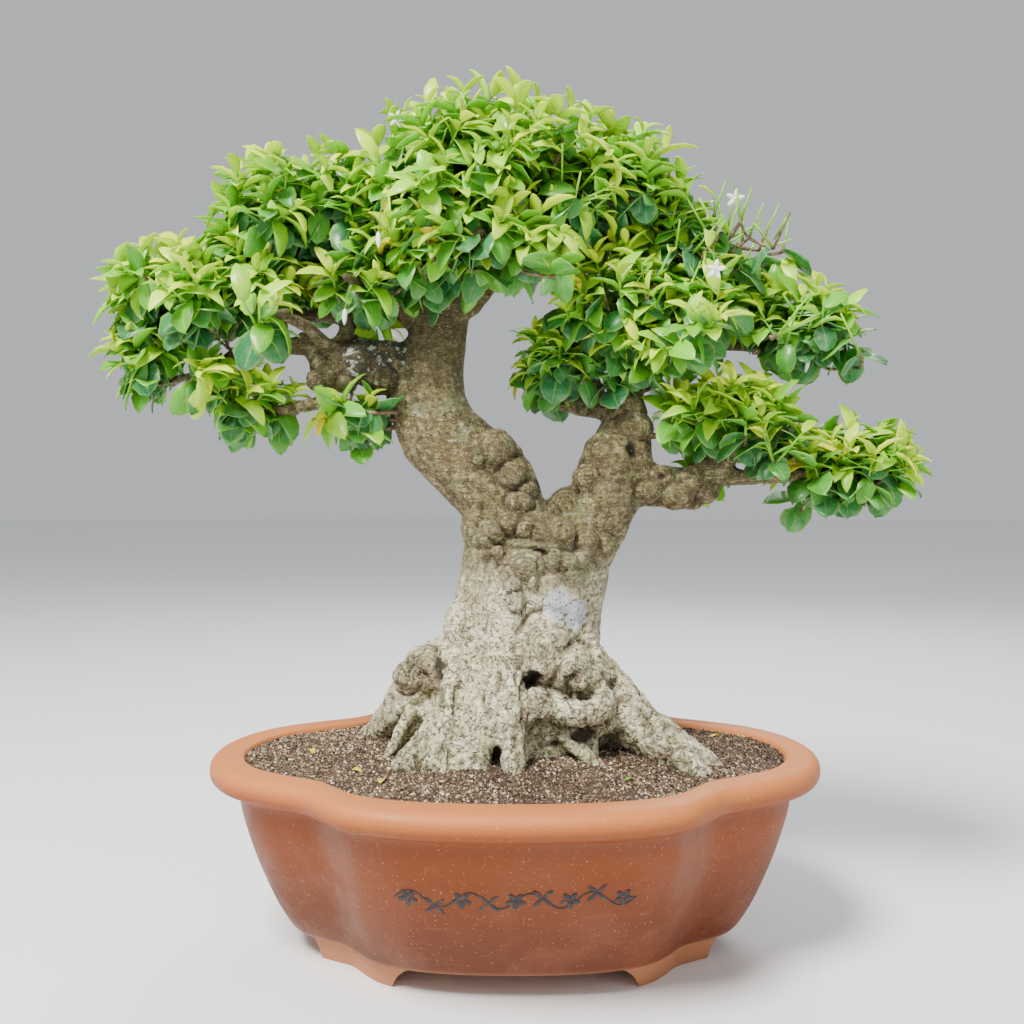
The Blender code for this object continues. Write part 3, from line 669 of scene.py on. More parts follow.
# %% Burls and root ridges
TREE_X = -3.0
BURLS_MM = (
    # place and half-size from the tree's own line: the knobby band under the fork
    ((-19, -41, 293), (9, 11, 7)), ((-11, -43, 300), (9, 12, 8)), ((-1, -44, 305), (10, 12, 8)),
    ((9, -45, 302), (9, 11, 8)), ((20, -44, 299), (9, 11, 7)), ((33, -44, 298), (12, 14, 12)),
    ((52, -34, 291), (11, 13, 11)), ((29, -50, 281), (8, 9, 8)), ((38, -49, 279), (8, 9, 7)),
    ((41, -51, 271), (5, 5, 4)), ((48, -44, 281), (7, 9, 7)), ((9, -47, 277), (16, 12, 11)),
    ((-18, -45, 284), (5, 6, 5)), ((-9, -49, 285), (5, 6, 5)), ((1, -53, 262), (6, 6, 6)),
    ((3, -54, 253), (6, 6, 8)), ((15, -53, 264), (4, 5, 5)), ((62, -20, 286), (14, 18, 12)),
    # the two sides of the fork
    ((-11, -22, 356), (15, 16, 16)), ((0, -22, 340), (13, 14, 12)), ((10, -18, 327), (10, 14, 9)),
    ((-22, -31, 351), (6, 6, 7)), ((6, -30, 318), (10, 12, 9)), ((38, -10, 317), (10, 18, 11)),
    ((53, -20, 336), (10, 12, 10)), ((65, -25, 354), (9, 9, 9)), ((106, -10, 336), (9, 12, 9)),
    ((98, -12, 328), (12, 12, 10)), ((118, -10, 323), (13, 13, 11)), ((140, -8, 326), (11, 11, 9)),
    ((88, -4, 372), (16, 15, 12)),
    # the mass over the dark hollow on the front
    ((23, -47, 222), (19, 17, 22)), ((22, -52, 210), (15, 14, 13)), ((40, -48, 208), (18, 17, 16)),
    ((56, -44, 200), (14, 15, 13)), ((46, -54, 200), (12, 11, 9)), ((14, -62, 185), (11, 11, 14)),
    ((8, -66, 175), (8, 8, 8)), ((22, -62, 180), (9, 9, 9)), ((47, -54, 176), (21, 12, 9)),
    # left root's burl, cut knobs and stubs
    ((-60, -24, 206), (14, 12, 11)), ((-72, -22, 196), (13, 12, 12)), ((-50, -20, 203), (10, 12, 8)),
    ((-71, -74, 146), (9.5, 8, 7)), ((-128, -10, 414), (14, 14, 15)), ((-137, -12, 406), (9, 11, 9)),
    ((-108, -10, 418), (16, 16, 16)), ((-94, -8, 408), (15, 15, 13)), ((-118, -12, 404), (10, 12, 8)),
    ((-66, 4, 388), (22, 22, 14)),
    # the back, guessed
    ((44, 34, 296), (19, 17, 18)), ((4, 38, 300), (20, 16, 18)), ((20, 46, 274), (18, 12, 16)),
    ((22, 0, 304), (36, 28, 12)), ((-20, 44, 226), (16, 14, 18)),
    # fillers under the left side of the trunk's outline
    ((-26, -10, 300), (10, 24, 16)), ((-36, -22, 230), (12, 20, 22)),
)
KNOBBY_BURLS = 49
RIDGES_MM = (
    ((-36, -44, 212, 6), (-41, -58, 190, 8), (-45, -68, 168, 8), (-51, -75, 150, 7), (-57, -82, 132, 5)),
    ((-24, -50, 208, 6), (-27, -62, 182, 7), (-31, -70, 162, 6), (-34, -76, 147, 5), (-38, -80, 130, 4)),
    ((-10, -56, 216, 8), (-14, -65, 188, 10), (-17, -72, 164, 8), (-18, -78, 148, 6), (-19, -83, 130, 5)),
    ((0, -58, 206, 8), (1, -67, 182, 10), (2, -74, 160, 10), (2, -80, 146, 9), (3, -86, 128, 8)),
    ((24, -50, 168, 6), (40, -58, 157, 6), (55, -66, 146, 6), (64, -70, 132, 5)),
    ((20, -52, 186, 8), (32, -64, 182, 9), (46, -68, 179, 10), (58, -62, 181, 10), (66, -46, 188, 8)),
    ((46, -30, 236, 4), (60, -36, 213, 7), (76, -40, 192, 9), (94, -42, 172, 8), (112, -44, 155, 6),
     (128, -38, 134, 5)),
    ((-68, -34, 176, 5), (-80, -44, 154, 4), (-90, -52, 132, 3)),
    ((-40, -70, 166, 4), (-44, -78, 148, 5), (-47, -84, 130, 5)),
    ((-26, -66, 170, 3), (-27, -78, 150, 2.6), (-28, -82, 132, 2.4)),
    ((40, 30, 232, 4), (50, 44, 208, 8), (62, 58, 178, 10), (74, 74, 146, 7), (80, 80, 128, 5)),
    ((-2, 38, 238, 4), (-8, 52, 214, 8), (-20, 66, 186, 10), (-36, 80, 150, 7), (-44, 86, 128, 5)),
    ((22, 40, 230, 4), (24, 54, 206, 8), (28, 70, 176, 9), (34, 84, 148, 6), (36, 90, 128, 5)),
    ((-38, 14, 228, 4), (-50, 24, 204, 8), (-66, 34, 176, 9), (-86, 50, 148, 6), (-96, 58, 128, 4)),
)
FORK_LEFT_MM = (14, 26)
FORK_RIGHT_MM = (54, 42)
FORK_BOTTOM_MM = (298, 342)
FORK_TOP_MM = (374, 354)
FORK_DROP = 0.018
FIRST_VOXEL = 0.0020
FIRST_SMOOTHING = 8
VOXEL = 0.0017
LAST_SMOOTHING = 2
KEPT_SHARE = 0.63
KNUCKLES = 130
KNUCKLE_FLOOR = 0.350
THIN_BRANCH = 0.022
KNUCKLE_SIZES = (0.0026, 0.0052)


def from_tree(point):
    """A place on the tree in metres, from millimetres along the tree's own line."""
    return Vector((point[0] + TREE_X, point[1], point[2])) * MM


def remesh(obj, voxel, smoothing):
    skin = obj.modifiers.new("skin", "REMESH")
    skin.mode = "VOXEL"
    skin.voxel_size = voxel
    soften = obj.modifiers.new("soften", "SMOOTH")
    soften.factor = 0.5
    soften.iterations = smoothing
    apply_modifiers(obj)


def add_ball(bm, centre, half_size):
    place = Matrix.Translation(centre) @ Matrix.Diagonal((*half_size, 1.0))
    bmesh.ops.create_icosphere(bm, subdivisions=2, radius=1.0, matrix=place)


def rise(value, start, end):
    """An eased step from 0 at start to 1 at end."""
    share = min(1.0, max(0.0, (value - start) / (end - start)))
    return share * share * (3 - 2 * share)


def sink_fork(bm):
    """Lowers the saddle between the two limbs, and leaves the limbs where they are."""
    for corner in bm.verts:
        x = corner.co.x / MM - TREE_X
        z = corner.co.z / MM
        across = rise(x, *FORK_LEFT_MM) * rise(x, *FORK_RIGHT_MM)
        corner.co.z -= FORK_DROP * across * rise(z, *FORK_BOTTOM_MM) * rise(z, *FORK_TOP_MM)


wood_bm = bmesh.new()
wood_bm.from_mesh(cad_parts["wood"].data)
bmesh.ops.remove_doubles(wood_bm, verts=wood_bm.verts, dist=0.00001)
wood = new_object("wood_body", mesh_from(wood_bm, "wood_body"))
remesh(wood, FIRST_VOXEL, FIRST_SMOOTHING)


def depth_below(tree, corner, normal, reach):
    """How thick the wood is under a corner, up to a reach."""
    hit = tree.ray_cast(corner - normal * 0.0005, -normal, reach)
    if hit[0] is None:
        return reach
    return hit[3]


wood_rng = random.Random(21)
wood_bm = bmesh.new()
wood_bm.from_mesh(wood.data)
sink_fork(wood_bm)
wood_bm.normal_update()
plain_tree = BVHTree.FromBMesh(wood_bm)
branch_corners = [vertex.co.copy() for vertex in wood_bm.verts if vertex.co.z > KNUCKLE_FLOOR
                  and depth_below(plain_tree, vertex.co, vertex.normal, 2 * THIN_BRANCH) < THIN_BRANCH]
branch_corners.sort(key=lambda corner: tuple(round(value, 5) for value in corner))
for knuckle in wood_rng.sample(branch_corners, KNUCKLES):
    size = wood_rng.uniform(*KNUCKLE_SIZES)
    add_ball(wood_bm, knuckle, (size, size, size * 0.8))
for burl_place, burl_size in BURLS_MM:
    add_ball(wood_bm, from_tree(burl_place), Vector(burl_size) * MM)
ridge_lines = [smooth_line([(*from_tree(mark), mark[3] * MM) for mark in ridge], 6) for ridge in RIDGES_MM]
wood_bm.from_mesh(tubes("ridges", ridge_lines, resolution=3))
wood_bm.to_mesh(wood.data)
wood_bm.free()
remesh(wood, VOXEL, LAST_SMOOTHING)
print("fused skin of", len(wood.data.vertices), "corners")

# %% [markdown]
# ### Relief of old bark
# The skin is now pushed along its normals. Low down the bark has grooves that run down to the roots,
# and pits. The burls break up into smaller knobs with sharp creases between them, with wrinkles round
# them, and the limbs are smoother. The push of each corner is kept as an attribute, so that the
# material can darken the hollows as painted shade and lighten the ridges as a painted highlight.

# %% Relief
GROOVE_TOP = 0.250
RING_LIMIT = 40.0
WAIST = ((0.052, -0.030, 0.234), 0.034)
HOLLOWS_MM = (
    # centre, half-size and depth of holes and folds, which the bark paints dark as painted shade
    ((85, -22, 356), (7.5, 10, 8), 6.0), ((14.5, -62, 200.5), (7.5, 10, 5.5), 9.0),
    ((43, -62, 189), (14, 10, 2.6), 5.0), ((-22, -37, 352), (4, 5, 4), 2.0),
    ((20, -56, 286), (10, 8, 2.2), 3.5), ((19, -58, 276), (2.2, 8, 9), 3.5), ((-9, -54, 276), (9, 8, 2.2), 3.0),
    ((108, -20, 338), (5, 6, 4.5), 4.0), ((-122, -26, 416), (3, 5, 3), 2.0), ((10, -62, 228), (2.0, 8, 12), 2.5),
    ((3.5, -66, 206), (1.8, 9, 13), 3.0), ((51, -62, 163), (12, 10, 5), 5.0),
    ((-51, -40, 205), (4.5, 22, 13), 3.2), ((44, -70, 192), (15, 10, 2.6), 5.0),
)


def clamp(value, low=0.0, high=1.0):
    return np.minimum(high, np.maximum(low, value))


def reaches(corners, centres, sizes):
    """How far each corner is from each centre, where 1 is the edge of its ellipsoid."""
    offsets = (corners[:, None, :] - centres[None, :, :]) / sizes[None, :, :]
    return np.linalg.norm(offsets, axis=2)


def burl_masks(corners, ragged):
    """Where the bark is knobby, where the creases between and round the burls run, which the bark
    material paints dark as painted shade (0 to 1), and how far it is from the middle of a burl, seen from the front,
    in millimetres."""
    centres = np.array([from_tree(centre) for centre, _ in BURLS_MM[:KNOBBY_BURLS]])
    sizes = np.array([size for _, size in BURLS_MM[:KNOBBY_BURLS]]) * MM
    reach = reaches(corners, centres, sizes) + 0.08 * ragged[:, None]
    first, second = np.sort(reach, axis=1)[:, :2].T
    knobby = clamp((1.45 - first) / 0.4)
    between = clamp(1.0 - (second - first) / 0.22) * clamp((1.40 - first) / 0.25)
    around = clamp(1.0 - np.abs(first - 1.16) / 0.12)
    flat = reaches(corners[:, ::2], centres[:, ::2], sizes[:, ::2]) * sizes.min(axis=1) / MM
    rings = (flat + 60 * np.maximum(0.0, reach - 1.3)).min(axis=1)
    return knobby, np.maximum(between, around), np.minimum(rings, RING_LIMIT)


def noises(corners):
    """Noise that the relief is mixed from: lumps, grooves, pits, knobs, creases and fine grain."""
    rows = []
    for corner in corners:
        place = Vector(corner)
        bent = place + noise.noise_vector(place * 55) * 0.0050
        groove = abs(noise.noise(Vector((bent.x * 95, bent.y * 95, bent.z * 20))))
        fold = abs(noise.noise(bent * 150))
        near, next_near = noise.voronoi(bent * 96)[0][:2]
        rows.append((noise.noise(bent * 45), noise.noise(bent * 120), groove, fold,
                     noise.noise(bent * 340), near, next_near - near))
    return np.array(rows).T


def hollow_depths(corners):
    """Depth of the holes and folds at each corner, with ragged edges."""
    ragged = corners + np.array([noise.noise_vector(Vector(corner) * 210) for corner in corners]) * 0.0022
    centres = np.array([from_tree(centre) for centre, _, _ in HOLLOWS_MM])
    sizes = np.array([size for _, size, _ in HOLLOWS_MM]) * MM
    depths = np.array([depth for _, _, depth in HOLLOWS_MM]) * MM
    reach = reaches(ragged, centres, sizes)
    return (depths * clamp(1.0 - reach ** 2)).max(axis=1)


def bark_relief(corners):
    """How far the bark stands out at each corner, in metres, with its creases and rings."""
    broad, lumps, groove, fold, grain, knob, crease = noises(corners)
    height = corners[:, 2]
    low = clamp((GROOVE_TOP - height) / 0.05)
    knobby, creases, rings = burl_masks(corners, lumps)
    creases *= clamp(0.62 + 1.3 * broad)
    knobby = np.maximum(0.45 * knobby, 0.28 * low)
    relief = 0.0010 * broad + 0.0007 * lumps
    relief -= 0.0017 * low * clamp(1.0 - groove / 0.14)
    relief -= 0.0006 * (0.3 + 0.7 * low) * clamp(1.0 - fold / 0.14)
    relief += 0.0022 * (0.25 + 0.75 * low) * np.minimum(0.0, grain + 0.18)
    relief += knobby * (0.0022 * (0.45 - knob) - 0.0012 * clamp(1.0 - crease / 0.16))
    waist = clamp(1.0 - np.linalg.norm(corners - np.array(WAIST[0]), axis=1) / WAIST[1])
    relief += 0.0011 * waist * np.sin((height + 0.004 * lumps) * 2 * np.pi / 0.0045)
    return relief - 0.0024 * creases - hollow_depths(corners), creases, rings


THIN_TWIG = 0.005


def press_bark(mesh):
    """Pushes every corner of the skin by the bark's relief, less on thin twigs, and keeps the push."""
    corners = np.array([vertex.co for vertex in mesh.vertices])
    normals = np.array([vertex.normal for vertex in mesh.vertices])
    inner = BVHTree.FromPolygons([vertex.co.copy() for vertex in mesh.vertices],
                                 [polygon.vertices[:] for polygon in mesh.polygons])
    depths = []
    for corner, normal in zip(corners, normals):
        depths.append(depth_below(inner, Vector(corner), Vector(normal), 2 * THIN_TWIG))
    relief, creases, rings = bark_relief(corners)
    pushes = relief * clamp(np.array(depths) / (2 * THIN_TWIG))
    mesh.vertices.foreach_set("co", (corners + normals * pushes[:, None]).ravel())
    for name, values in (("relief", pushes / MM), ("creases", creases), ("rings", rings)):
        kept = mesh.attributes.new(name, "FLOAT", "POINT")
        kept.data.foreach_set("value", values.astype(np.float32))
    mesh.update()
    return pushes


wood_pushes = press_bark(wood.data)
print("bark pushed from", round(wood_pushes.min() / MM, 1), "to", round(wood_pushes.max() / MM, 1), "mm")
thin_out = wood.modifiers.new("thin out", "DECIMATE")
thin_out.ratio = KEPT_SHARE
apply_modifiers(wood)
print("thinned to", count_triangles(wood), "triangles, relief kept:", "relief" in wood.data.attributes)


# %% [markdown]
# ### Bark colour
# Low on the trunk the bark is bleached cream and grey, with curly dark cracks and pits. Above the
# burls it turns tan and olive brown. Grey-green and whitish lichen sits on the stub and round the fork,
# and one whitish scab shows on the front. The curly cracks are where a cloud of noise passes through
# its middle value, which draws thin closed lines like the contours on a map.


# %% Node group: curly cracks
def build_cracks():
    """Mask of thin curly lines. Width is the share of the noise's range that a line takes."""
    group, given, result = new_group("cracks", {"Scale": 120.0, "Width": 0.02}, "Mask")
    cloud = add_node(group, "ShaderNodeTexNoise", {"Vector": given["Place"], "Scale": given["Scale"],
                                                   "Detail": 3.0, "Roughness": 0.55, "Distortion": 1.2})
    from_middle = maths(group, "ABSOLUTE", maths(group, "SUBTRACT", cloud.outputs["Fac"], 0.5))
    feed(group, result, ramp(group, from_middle, given["Width"], 0.0))
    return group


CRACKS = build_cracks()

# %% Bark material
RING_TURNS = 2 * math.pi / 2.6
SCAB_CENTRES = ((0.0310, -0.054, 0.2490, 0.0125), (0.0450, -0.044, 0.2410, 0.0115))
STUB_CENTRE = (-0.100, -0.020, 0.424)
LEFT_BURL = (-0.066, -0.030, 0.202)


def near_place(tree, place, centre, radius, ragged):
    """Mask of a patch with a ragged edge round a place."""
    away = add_node(tree, "ShaderNodeVectorMath", {0: place, 1: centre}, operation="DISTANCE")
    edge = maths(tree, "ADD", away.outputs["Value"], ragged)
    return ramp(tree, edge, radius, radius * 0.9)


def tint(tree, base, mask, share, over):
    """Lays a colour over the base where a mask says so."""
    return mix(tree, maths(tree, "MULTIPLY", mask, share), base, over)


def build_bark():
    material, tree, shader, place = new_material("old bark")
    height = add_node(tree, "ShaderNodeSeparateXYZ", {"Vector": place}).outputs["Z"]
    stir = add_node(tree, "ShaderNodeTexNoise", {"Vector": place, "Scale": 42.0, "Detail": 4.0}).outputs["Fac"]
    level = maths(tree, "ADD", height, maths(tree, "MULTIPLY", stir, 0.080))
    upper = ramp(tree, level, 0.272, 0.345)
    cloud = add_node(tree, "ShaderNodeTexNoise", {"Vector": place, "Scale": 230.0, "Detail": 6.0,
                                                  "Roughness": 0.72}).outputs["Fac"]
    low_bark = tone_ramp(tree, cloud, ((0.32, colour(146, 136, 104)), (0.46, colour(210, 200, 162)),
                                       (0.58, colour(242, 235, 200)), (0.70, colour(254, 252, 230))))
    high_bark = tone_ramp(tree, cloud, ((0.32, colour(60, 54, 30)), (0.46, colour(106, 96, 58)),
                                        (0.58, colour(152, 141, 96)), (0.70, colour(208, 197, 152))))
    base = mix(tree, upper, low_bark, high_bark)
    relief = attribute(tree, "relief")
    # painted highlight: where the relief stands out, the bark is painted lighter
    base = tint(tree, base, ramp(tree, relief, 0.3, 1.8), 0.45, colour(244, 238, 212))
    base = tint(tree, base, effect(tree, PATCHES, place, Scale=38.0, Level=0.56, Edge=0.12), 0.32,
                colour(132, 104, 66))
    # painted shade: the limbs are painted darker where they run up into the shade of the crown
    base = tint(tree, base, ramp(tree, height, 0.375, 0.440), 0.6, colour(86, 70, 44))
    base = tint(tree, base, effect(tree, PATCHES, place, Scale=60.0, Level=0.57, Edge=0.05), 0.45,
                colour(138, 150, 104))
    base = tint(tree, base, effect(tree, PATCHES, place, Scale=85.0, Level=0.62, Edge=0.05), 0.32,
                colour(214, 212, 186))
    moss = effect(tree, PATCHES, place, Scale=110.0, Level=0.48, Edge=0.10)
    base = tint(tree, base, maths(tree, "MULTIPLY", moss, ramp(tree, height, 0.190, 0.155)), 0.42,
                colour(112, 132, 66))
    ragged = maths(tree, "MULTIPLY", maths(tree, "SUBTRACT", cloud, 0.5), 0.030)
    stub = near_place(tree, place, STUB_CENTRE, 0.024, ragged)
    soot = effect(tree, PATCHES, place, Scale=120.0, Level=0.44, Edge=0.06)
    base = tint(tree, base, maths(tree, "MULTIPLY", stub, soot), 0.8, colour(52, 54, 46))
    crust = effect(tree, PATCHES, place, Scale=150.0, Level=0.55, Edge=0.03)
    base = tint(tree, base, maths(tree, "MULTIPLY", stub, crust), 0.9, colour(214, 216, 206))
    base = tint(tree, base, near_place(tree, place, LEFT_BURL, 0.021, ragged), 0.45, colour(128, 108, 70))
    cracks = maths(tree, "MAXIMUM", effect(tree, CRACKS, place, Scale=105.0, Width=0.036),
                   maths(tree, "MULTIPLY", effect(tree, CRACKS, place, Scale=230.0, Width=0.060), 0.38))
    crack_share = ramp(tree, upper, 0.0, 1.0, 0.95, 0.30)
    base = mix(tree, maths(tree, "MULTIPLY", cracks, crack_share), base, colour(54, 46, 28))
    squashed = add_node(tree, "ShaderNodeMapping", {"Vector": place, "Scale": (0.5, 0.5, 3.0)}).outputs["Vector"]
    wrinkles = effect(tree, CRACKS, squashed, Scale=110.0, Width=0.075)
    base = tint(tree, base, maths(tree, "MULTIPLY", wrinkles, upper), 0.34, colour(86, 66, 40))
    rings = attribute(tree, "rings")
    turns = maths(tree, "ADD", maths(tree, "MULTIPLY", rings, RING_TURNS), maths(tree, "MULTIPLY", stir, 16.0))
    faded = maths(tree, "MULTIPLY", ramp(tree, rings, 16.0, 8.0), ramp(tree, cloud, 0.40, 0.56))
    troughs = maths(tree, "MULTIPLY", ramp(tree, maths(tree, "SINE", turns), 0.2, 0.9), faded)
    base = tint(tree, base, troughs, 0.28, colour(76, 60, 38))
    # painted shade: the creases between and round the burls are painted dark
    broken = ramp(tree, cloud, 0.36, 0.50)
    base = tint(tree, base, maths(tree, "MULTIPLY", attribute(tree, "creases"), broken), 0.85, colour(48, 36, 20))
    # painted shade: hollows of the relief are darkened, and the deepest holes are painted almost black
    base = tint(tree, base, ramp(tree, relief, -0.5, -1.8), 0.5, colour(96, 74, 48))
    base = tint(tree, base, ramp(tree, relief, -1.4, -3.4), 0.88, colour(40, 30, 18))
    pits = effect(tree, SPECKS, place, Pitch=300.0, Size=0.26, Share=0.27)
    base = tint(tree, base, pits, 0.85, colour(34, 28, 20))
    dots = effect(tree, SPECKS, place, Pitch=560.0, Size=0.30, Share=0.14)
    base = tint(tree, base, dots, 0.5, colour(240, 232, 206))
    torn = maths(tree, "MULTIPLY", ragged, 0.3)
    scabs = [near_place(tree, place, centre[:3], centre[3], torn) for centre in SCAB_CENTRES]
    holes = effect(tree, SPECKS, place, Pitch=400.0, Size=0.33, Share=0.5)
    scab_colour = mix(tree, holes, colour(206, 212, 217), colour(64, 64, 68))
    base = mix(tree, maths(tree, "MULTIPLY", maths(tree, "MAXIMUM", *scabs), 0.92), base, scab_colour)
    feed(tree, shader.inputs["Base Color"], base)
    feed(tree, shader.inputs["Roughness"], ramp(tree, cloud, 0.3, 0.7, 0.85, 0.60))
    grain = effect(tree, GRAIN, place, Coarse=300.0, Fine=1000.0, Fine_share=0.5)
    carved = maths(tree, "SUBTRACT", grain, maths(tree, "MULTIPLY", pits, 0.6))
    carved = maths(tree, "SUBTRACT", carved, maths(tree, "MULTIPLY", cracks, 0.45))
    carved = maths(tree, "SUBTRACT", carved, maths(tree, "MULTIPLY", troughs, 0.5))
    carved = maths(tree, "SUBTRACT", carved, maths(tree, "MULTIPLY", wrinkles, maths(tree, "MULTIPLY", upper, 0.4)))
    add_bump(tree, shader, carved, 0.0018, 0.9)
    return material


BARK = build_bark()
wood.data.materials.append(BARK)
wood.data.shade_smooth()
hand_in(wood, "bark", "wood")
wood_tree = BVHTree.FromPolygons([vertex.co.copy() for vertex in wood.data.vertices],
                                 [polygon.vertices[:] for polygon in wood.data.polygons])

# %% [markdown]
# ## Copies by the thousand
# Leaves, stems and grains repeat thousands of times. Particle systems would be lost in the export, and
# an object for each would be slow. Instead each kind is modelled once with bmesh, and the helper here
# repeats its corners through an array of matrices into one plain mesh.


# %% Scatter helper
def template_of(bm, name):
    """A template's corners, faces and UVs as arrays."""
    mesh = mesh_from(bm, name)
    corners = np.empty(len(mesh.vertices) * 3)
    mesh.vertices.foreach_get("co", corners)
    links = np.empty(len(mesh.loops), int)
    mesh.loops.foreach_get("vertex_index", links)
    sizes = np.empty(len(mesh.polygons), int)
    mesh.polygons.foreach_get("loop_total", sizes)
    uvs = np.zeros(len(mesh.loops) * 2)
    if mesh.uv_layers:
        mesh.uv_layers[0].data.foreach_get("uv", uvs)
    bpy.data.meshes.remove(mesh)
    return {"corners": corners.reshape(-1, 3), "links": links, "sizes": sizes, "uvs": uvs}


def scatter(name, lots, attribute_names):
    """One mesh from lots of (template, matrices, attribute values of each copy, material number)."""
    corners, links, sizes, uvs, numbers = [], [], [], [], []
    values = {attribute_name: [] for attribute_name in attribute_names}
    total = 0
    for template, matrices, tints, number in lots:
        if not len(matrices):
            continue
        placed = np.array([[*map(list, matrix)] for matrix in matrices])
        count = len(placed)
        points = template["corners"]
        corners.append((np.einsum("nij,vj->nvi", placed[:, :3, :3], points)
                        + placed[:, None, :3, 3]).reshape(-1, 3))
        shifts = total + len(points) * np.arange(count)
        links.append((template["links"][None, :] + shifts[:, None]).ravel())
        sizes.append(np.tile(template["sizes"], count))
        uvs.append(np.tile(template["uvs"], count))
        numbers.append(np.full(count * len(template["sizes"]), number))
        for column, attribute_name in enumerate(attribute_names):
            values[attribute_name].append(np.repeat(np.array(tints)[:, column], len(points)))
        total += count * len(points)
    mesh = bpy.data.meshes.new(name)
    all_sizes = np.concatenate(sizes)
    mesh.vertices.add(total)
    mesh.vertices.foreach_set("co", np.concatenate(corners).ravel())
    mesh.loops.add(int(all_sizes.sum()))
    mesh.loops.foreach_set("vertex_index", np.concatenate(links))
    mesh.polygons.add(len(all_sizes))
    mesh.polygons.foreach_set("loop_start", np.concatenate([[0], np.cumsum(all_sizes)[:-1]]))
    mesh.polygons.foreach_set("material_index", np.concatenate(numbers))
    mesh.uv_layers.new(name="UVMap").data.foreach_set("uv", np.concatenate(uvs))
    for attribute_name in attribute_names:
        made = mesh.attributes.new(attribute_name, "FLOAT", "POINT")
        made.data.foreach_set("value", np.concatenate(values[attribute_name]).astype(np.float32))
    mesh.update(calc_edges=True)
    mesh.validate()
    return mesh


def aim(origin, along, up, scale=1.0):
    """The matrix that lays a template's +X along a direction, with its +Z as near up as can be."""
    x_axis = along.normalized()
    y_axis = up.cross(x_axis)
    if y_axis.length < 0.05:
        y_axis = x_axis.orthogonal()
    y_axis.normalize()
    z_axis = x_axis.cross(y_axis)
    turn = Matrix((x_axis, y_axis, z_axis)).transposed().to_4x4()
    if not isinstance(scale, tuple):
        scale = (scale, scale, scale)
    return Matrix.Translation(origin) @ turn @ Matrix.Diagonal((*scale, 1.0))


# %% A garland on the front of the pot
GARLAND_HEIGHT = 0.078
GARLAND_SWAY = 0.0055
GARLAND_HALF = 0.074
BLOSSOMS = 5
PETAL_HALF = (0.0031, 0.0019, 0.0006)
SPRIG_HALF = (0.0042, 0.0015, 0.0005)
pot_tree = BVHTree.FromPolygons([vertex.co.copy() for vertex in pot.data.vertices],
                                [polygon.vertices[:] for polygon in pot.data.polygons])


def on_front(x, z):
    """The front wall's surface at a place, and its normal."""
    hit, normal, _, _ = pot_tree.ray_cast(Vector((x, -0.4, z)), Vector((0, 1, 0)))
    return hit, normal


def garland_height(x):
    return GARLAND_HEIGHT + GARLAND_SWAY * math.sin(2 * math.pi * x / 0.037)


def lay_petal(bm, x, z, angle, away, half_size):
    """An inlaid drop on the wall, turned by an angle and moved that way."""
    middle, normal = on_front(x, z)
    side = Vector((1, 0, 0)).cross(normal).cross(normal).normalized()
    along = Matrix.Rotation(angle, 3, normal) @ side
    bmesh.ops.create_uvsphere(bm, u_segments=10, v_segments=6, radius=1.0,
                              matrix=aim(middle + along * away, along, normal, half_size))


def build_garland():
    """Five-petalled blossoms on a waving stem, with pairs of leaves between them."""
    bm = bmesh.new()
    stem = []
    for x in np.linspace(-GARLAND_HALF, GARLAND_HALF, 75):
        middle, _ = on_front(x, garland_height(x))
        stem.append((*middle, 0.0006))
    bm.from_mesh(tubes("stem of the garland", [stem]))
    blossom_xs = np.linspace(-GARLAND_HALF + 0.008, GARLAND_HALF - 0.008, BLOSSOMS)
    for x in blossom_xs:
        for k in range(5):
            lay_petal(bm, x, GARLAND_HEIGHT, math.pi / 2 + 2 * math.pi * k / 5, 0.0036, PETAL_HALF)
    for x in (blossom_xs[1:] + blossom_xs[:-1]) / 2:
        for k in range(4):
            lay_petal(bm, x, garland_height(x), math.pi / 4 + math.pi / 2 * k, 0.0042, SPRIG_HALF)
    return mesh_from(bm, "front_garland")


def build_slate():
    material, tree, shader, place = new_material("slate inlay")
    worn = effect(tree, PATCHES, place, Scale=210.0, Level=0.50, Edge=0.12)
    base = mix(tree, maths(tree, "MULTIPLY", worn, 0.5), colour(44, 42, 46), colour(110, 74, 58))
    feed(tree, shader.inputs["Base Color"], base)
    shader.inputs["Roughness"].default_value = 0.7
    return material


garland = new_object("front_garland", build_garland(), build_slate())
hand_in(garland, "clay")

# %% Grains on the soil
GRAIN_COUNT = 30000
GRAIN_SIZES = (0.00035, 0.0011)
soil_tree = BVHTree.FromPolygons([vertex.co.copy() for vertex in soil.data.vertices],
                                 [polygon.vertices[:] for polygon in soil.data.polygons])
soil_rng = random.Random(5)


def grain_template():
    bm = bmesh.new()
    bmesh.ops.create_cone(bm, cap_ends=True, segments=3, radius1=1.3, radius2=0.0, depth=1.8)
    return template_of(bm, "grain")


def on_soil(x, y):
    """The soil's surface at a place seen from above, and its normal, or None off the soil."""
    hit, normal, _, _ = soil_tree.ray_cast(Vector((x, y, 0.3)), Vector((0, 0, -1)), 0.3)
    if hit is None or hit.z < SOIL_EDGE_Z - 0.004:
        return None
    return hit, normal


def inside_wood(place, margin=0.0):
    """Whether a place lies in the wood, or within a margin of it."""
    near, normal, _, distance = wood_tree.find_nearest(place)
    return distance < margin or (place - near).dot(normal) < 0


def random_turn(rng):
    return Matrix.Rotation(rng.uniform(0, 2 * math.pi), 4, Vector([rng.gauss(0, 1) for _ in range(3)]))


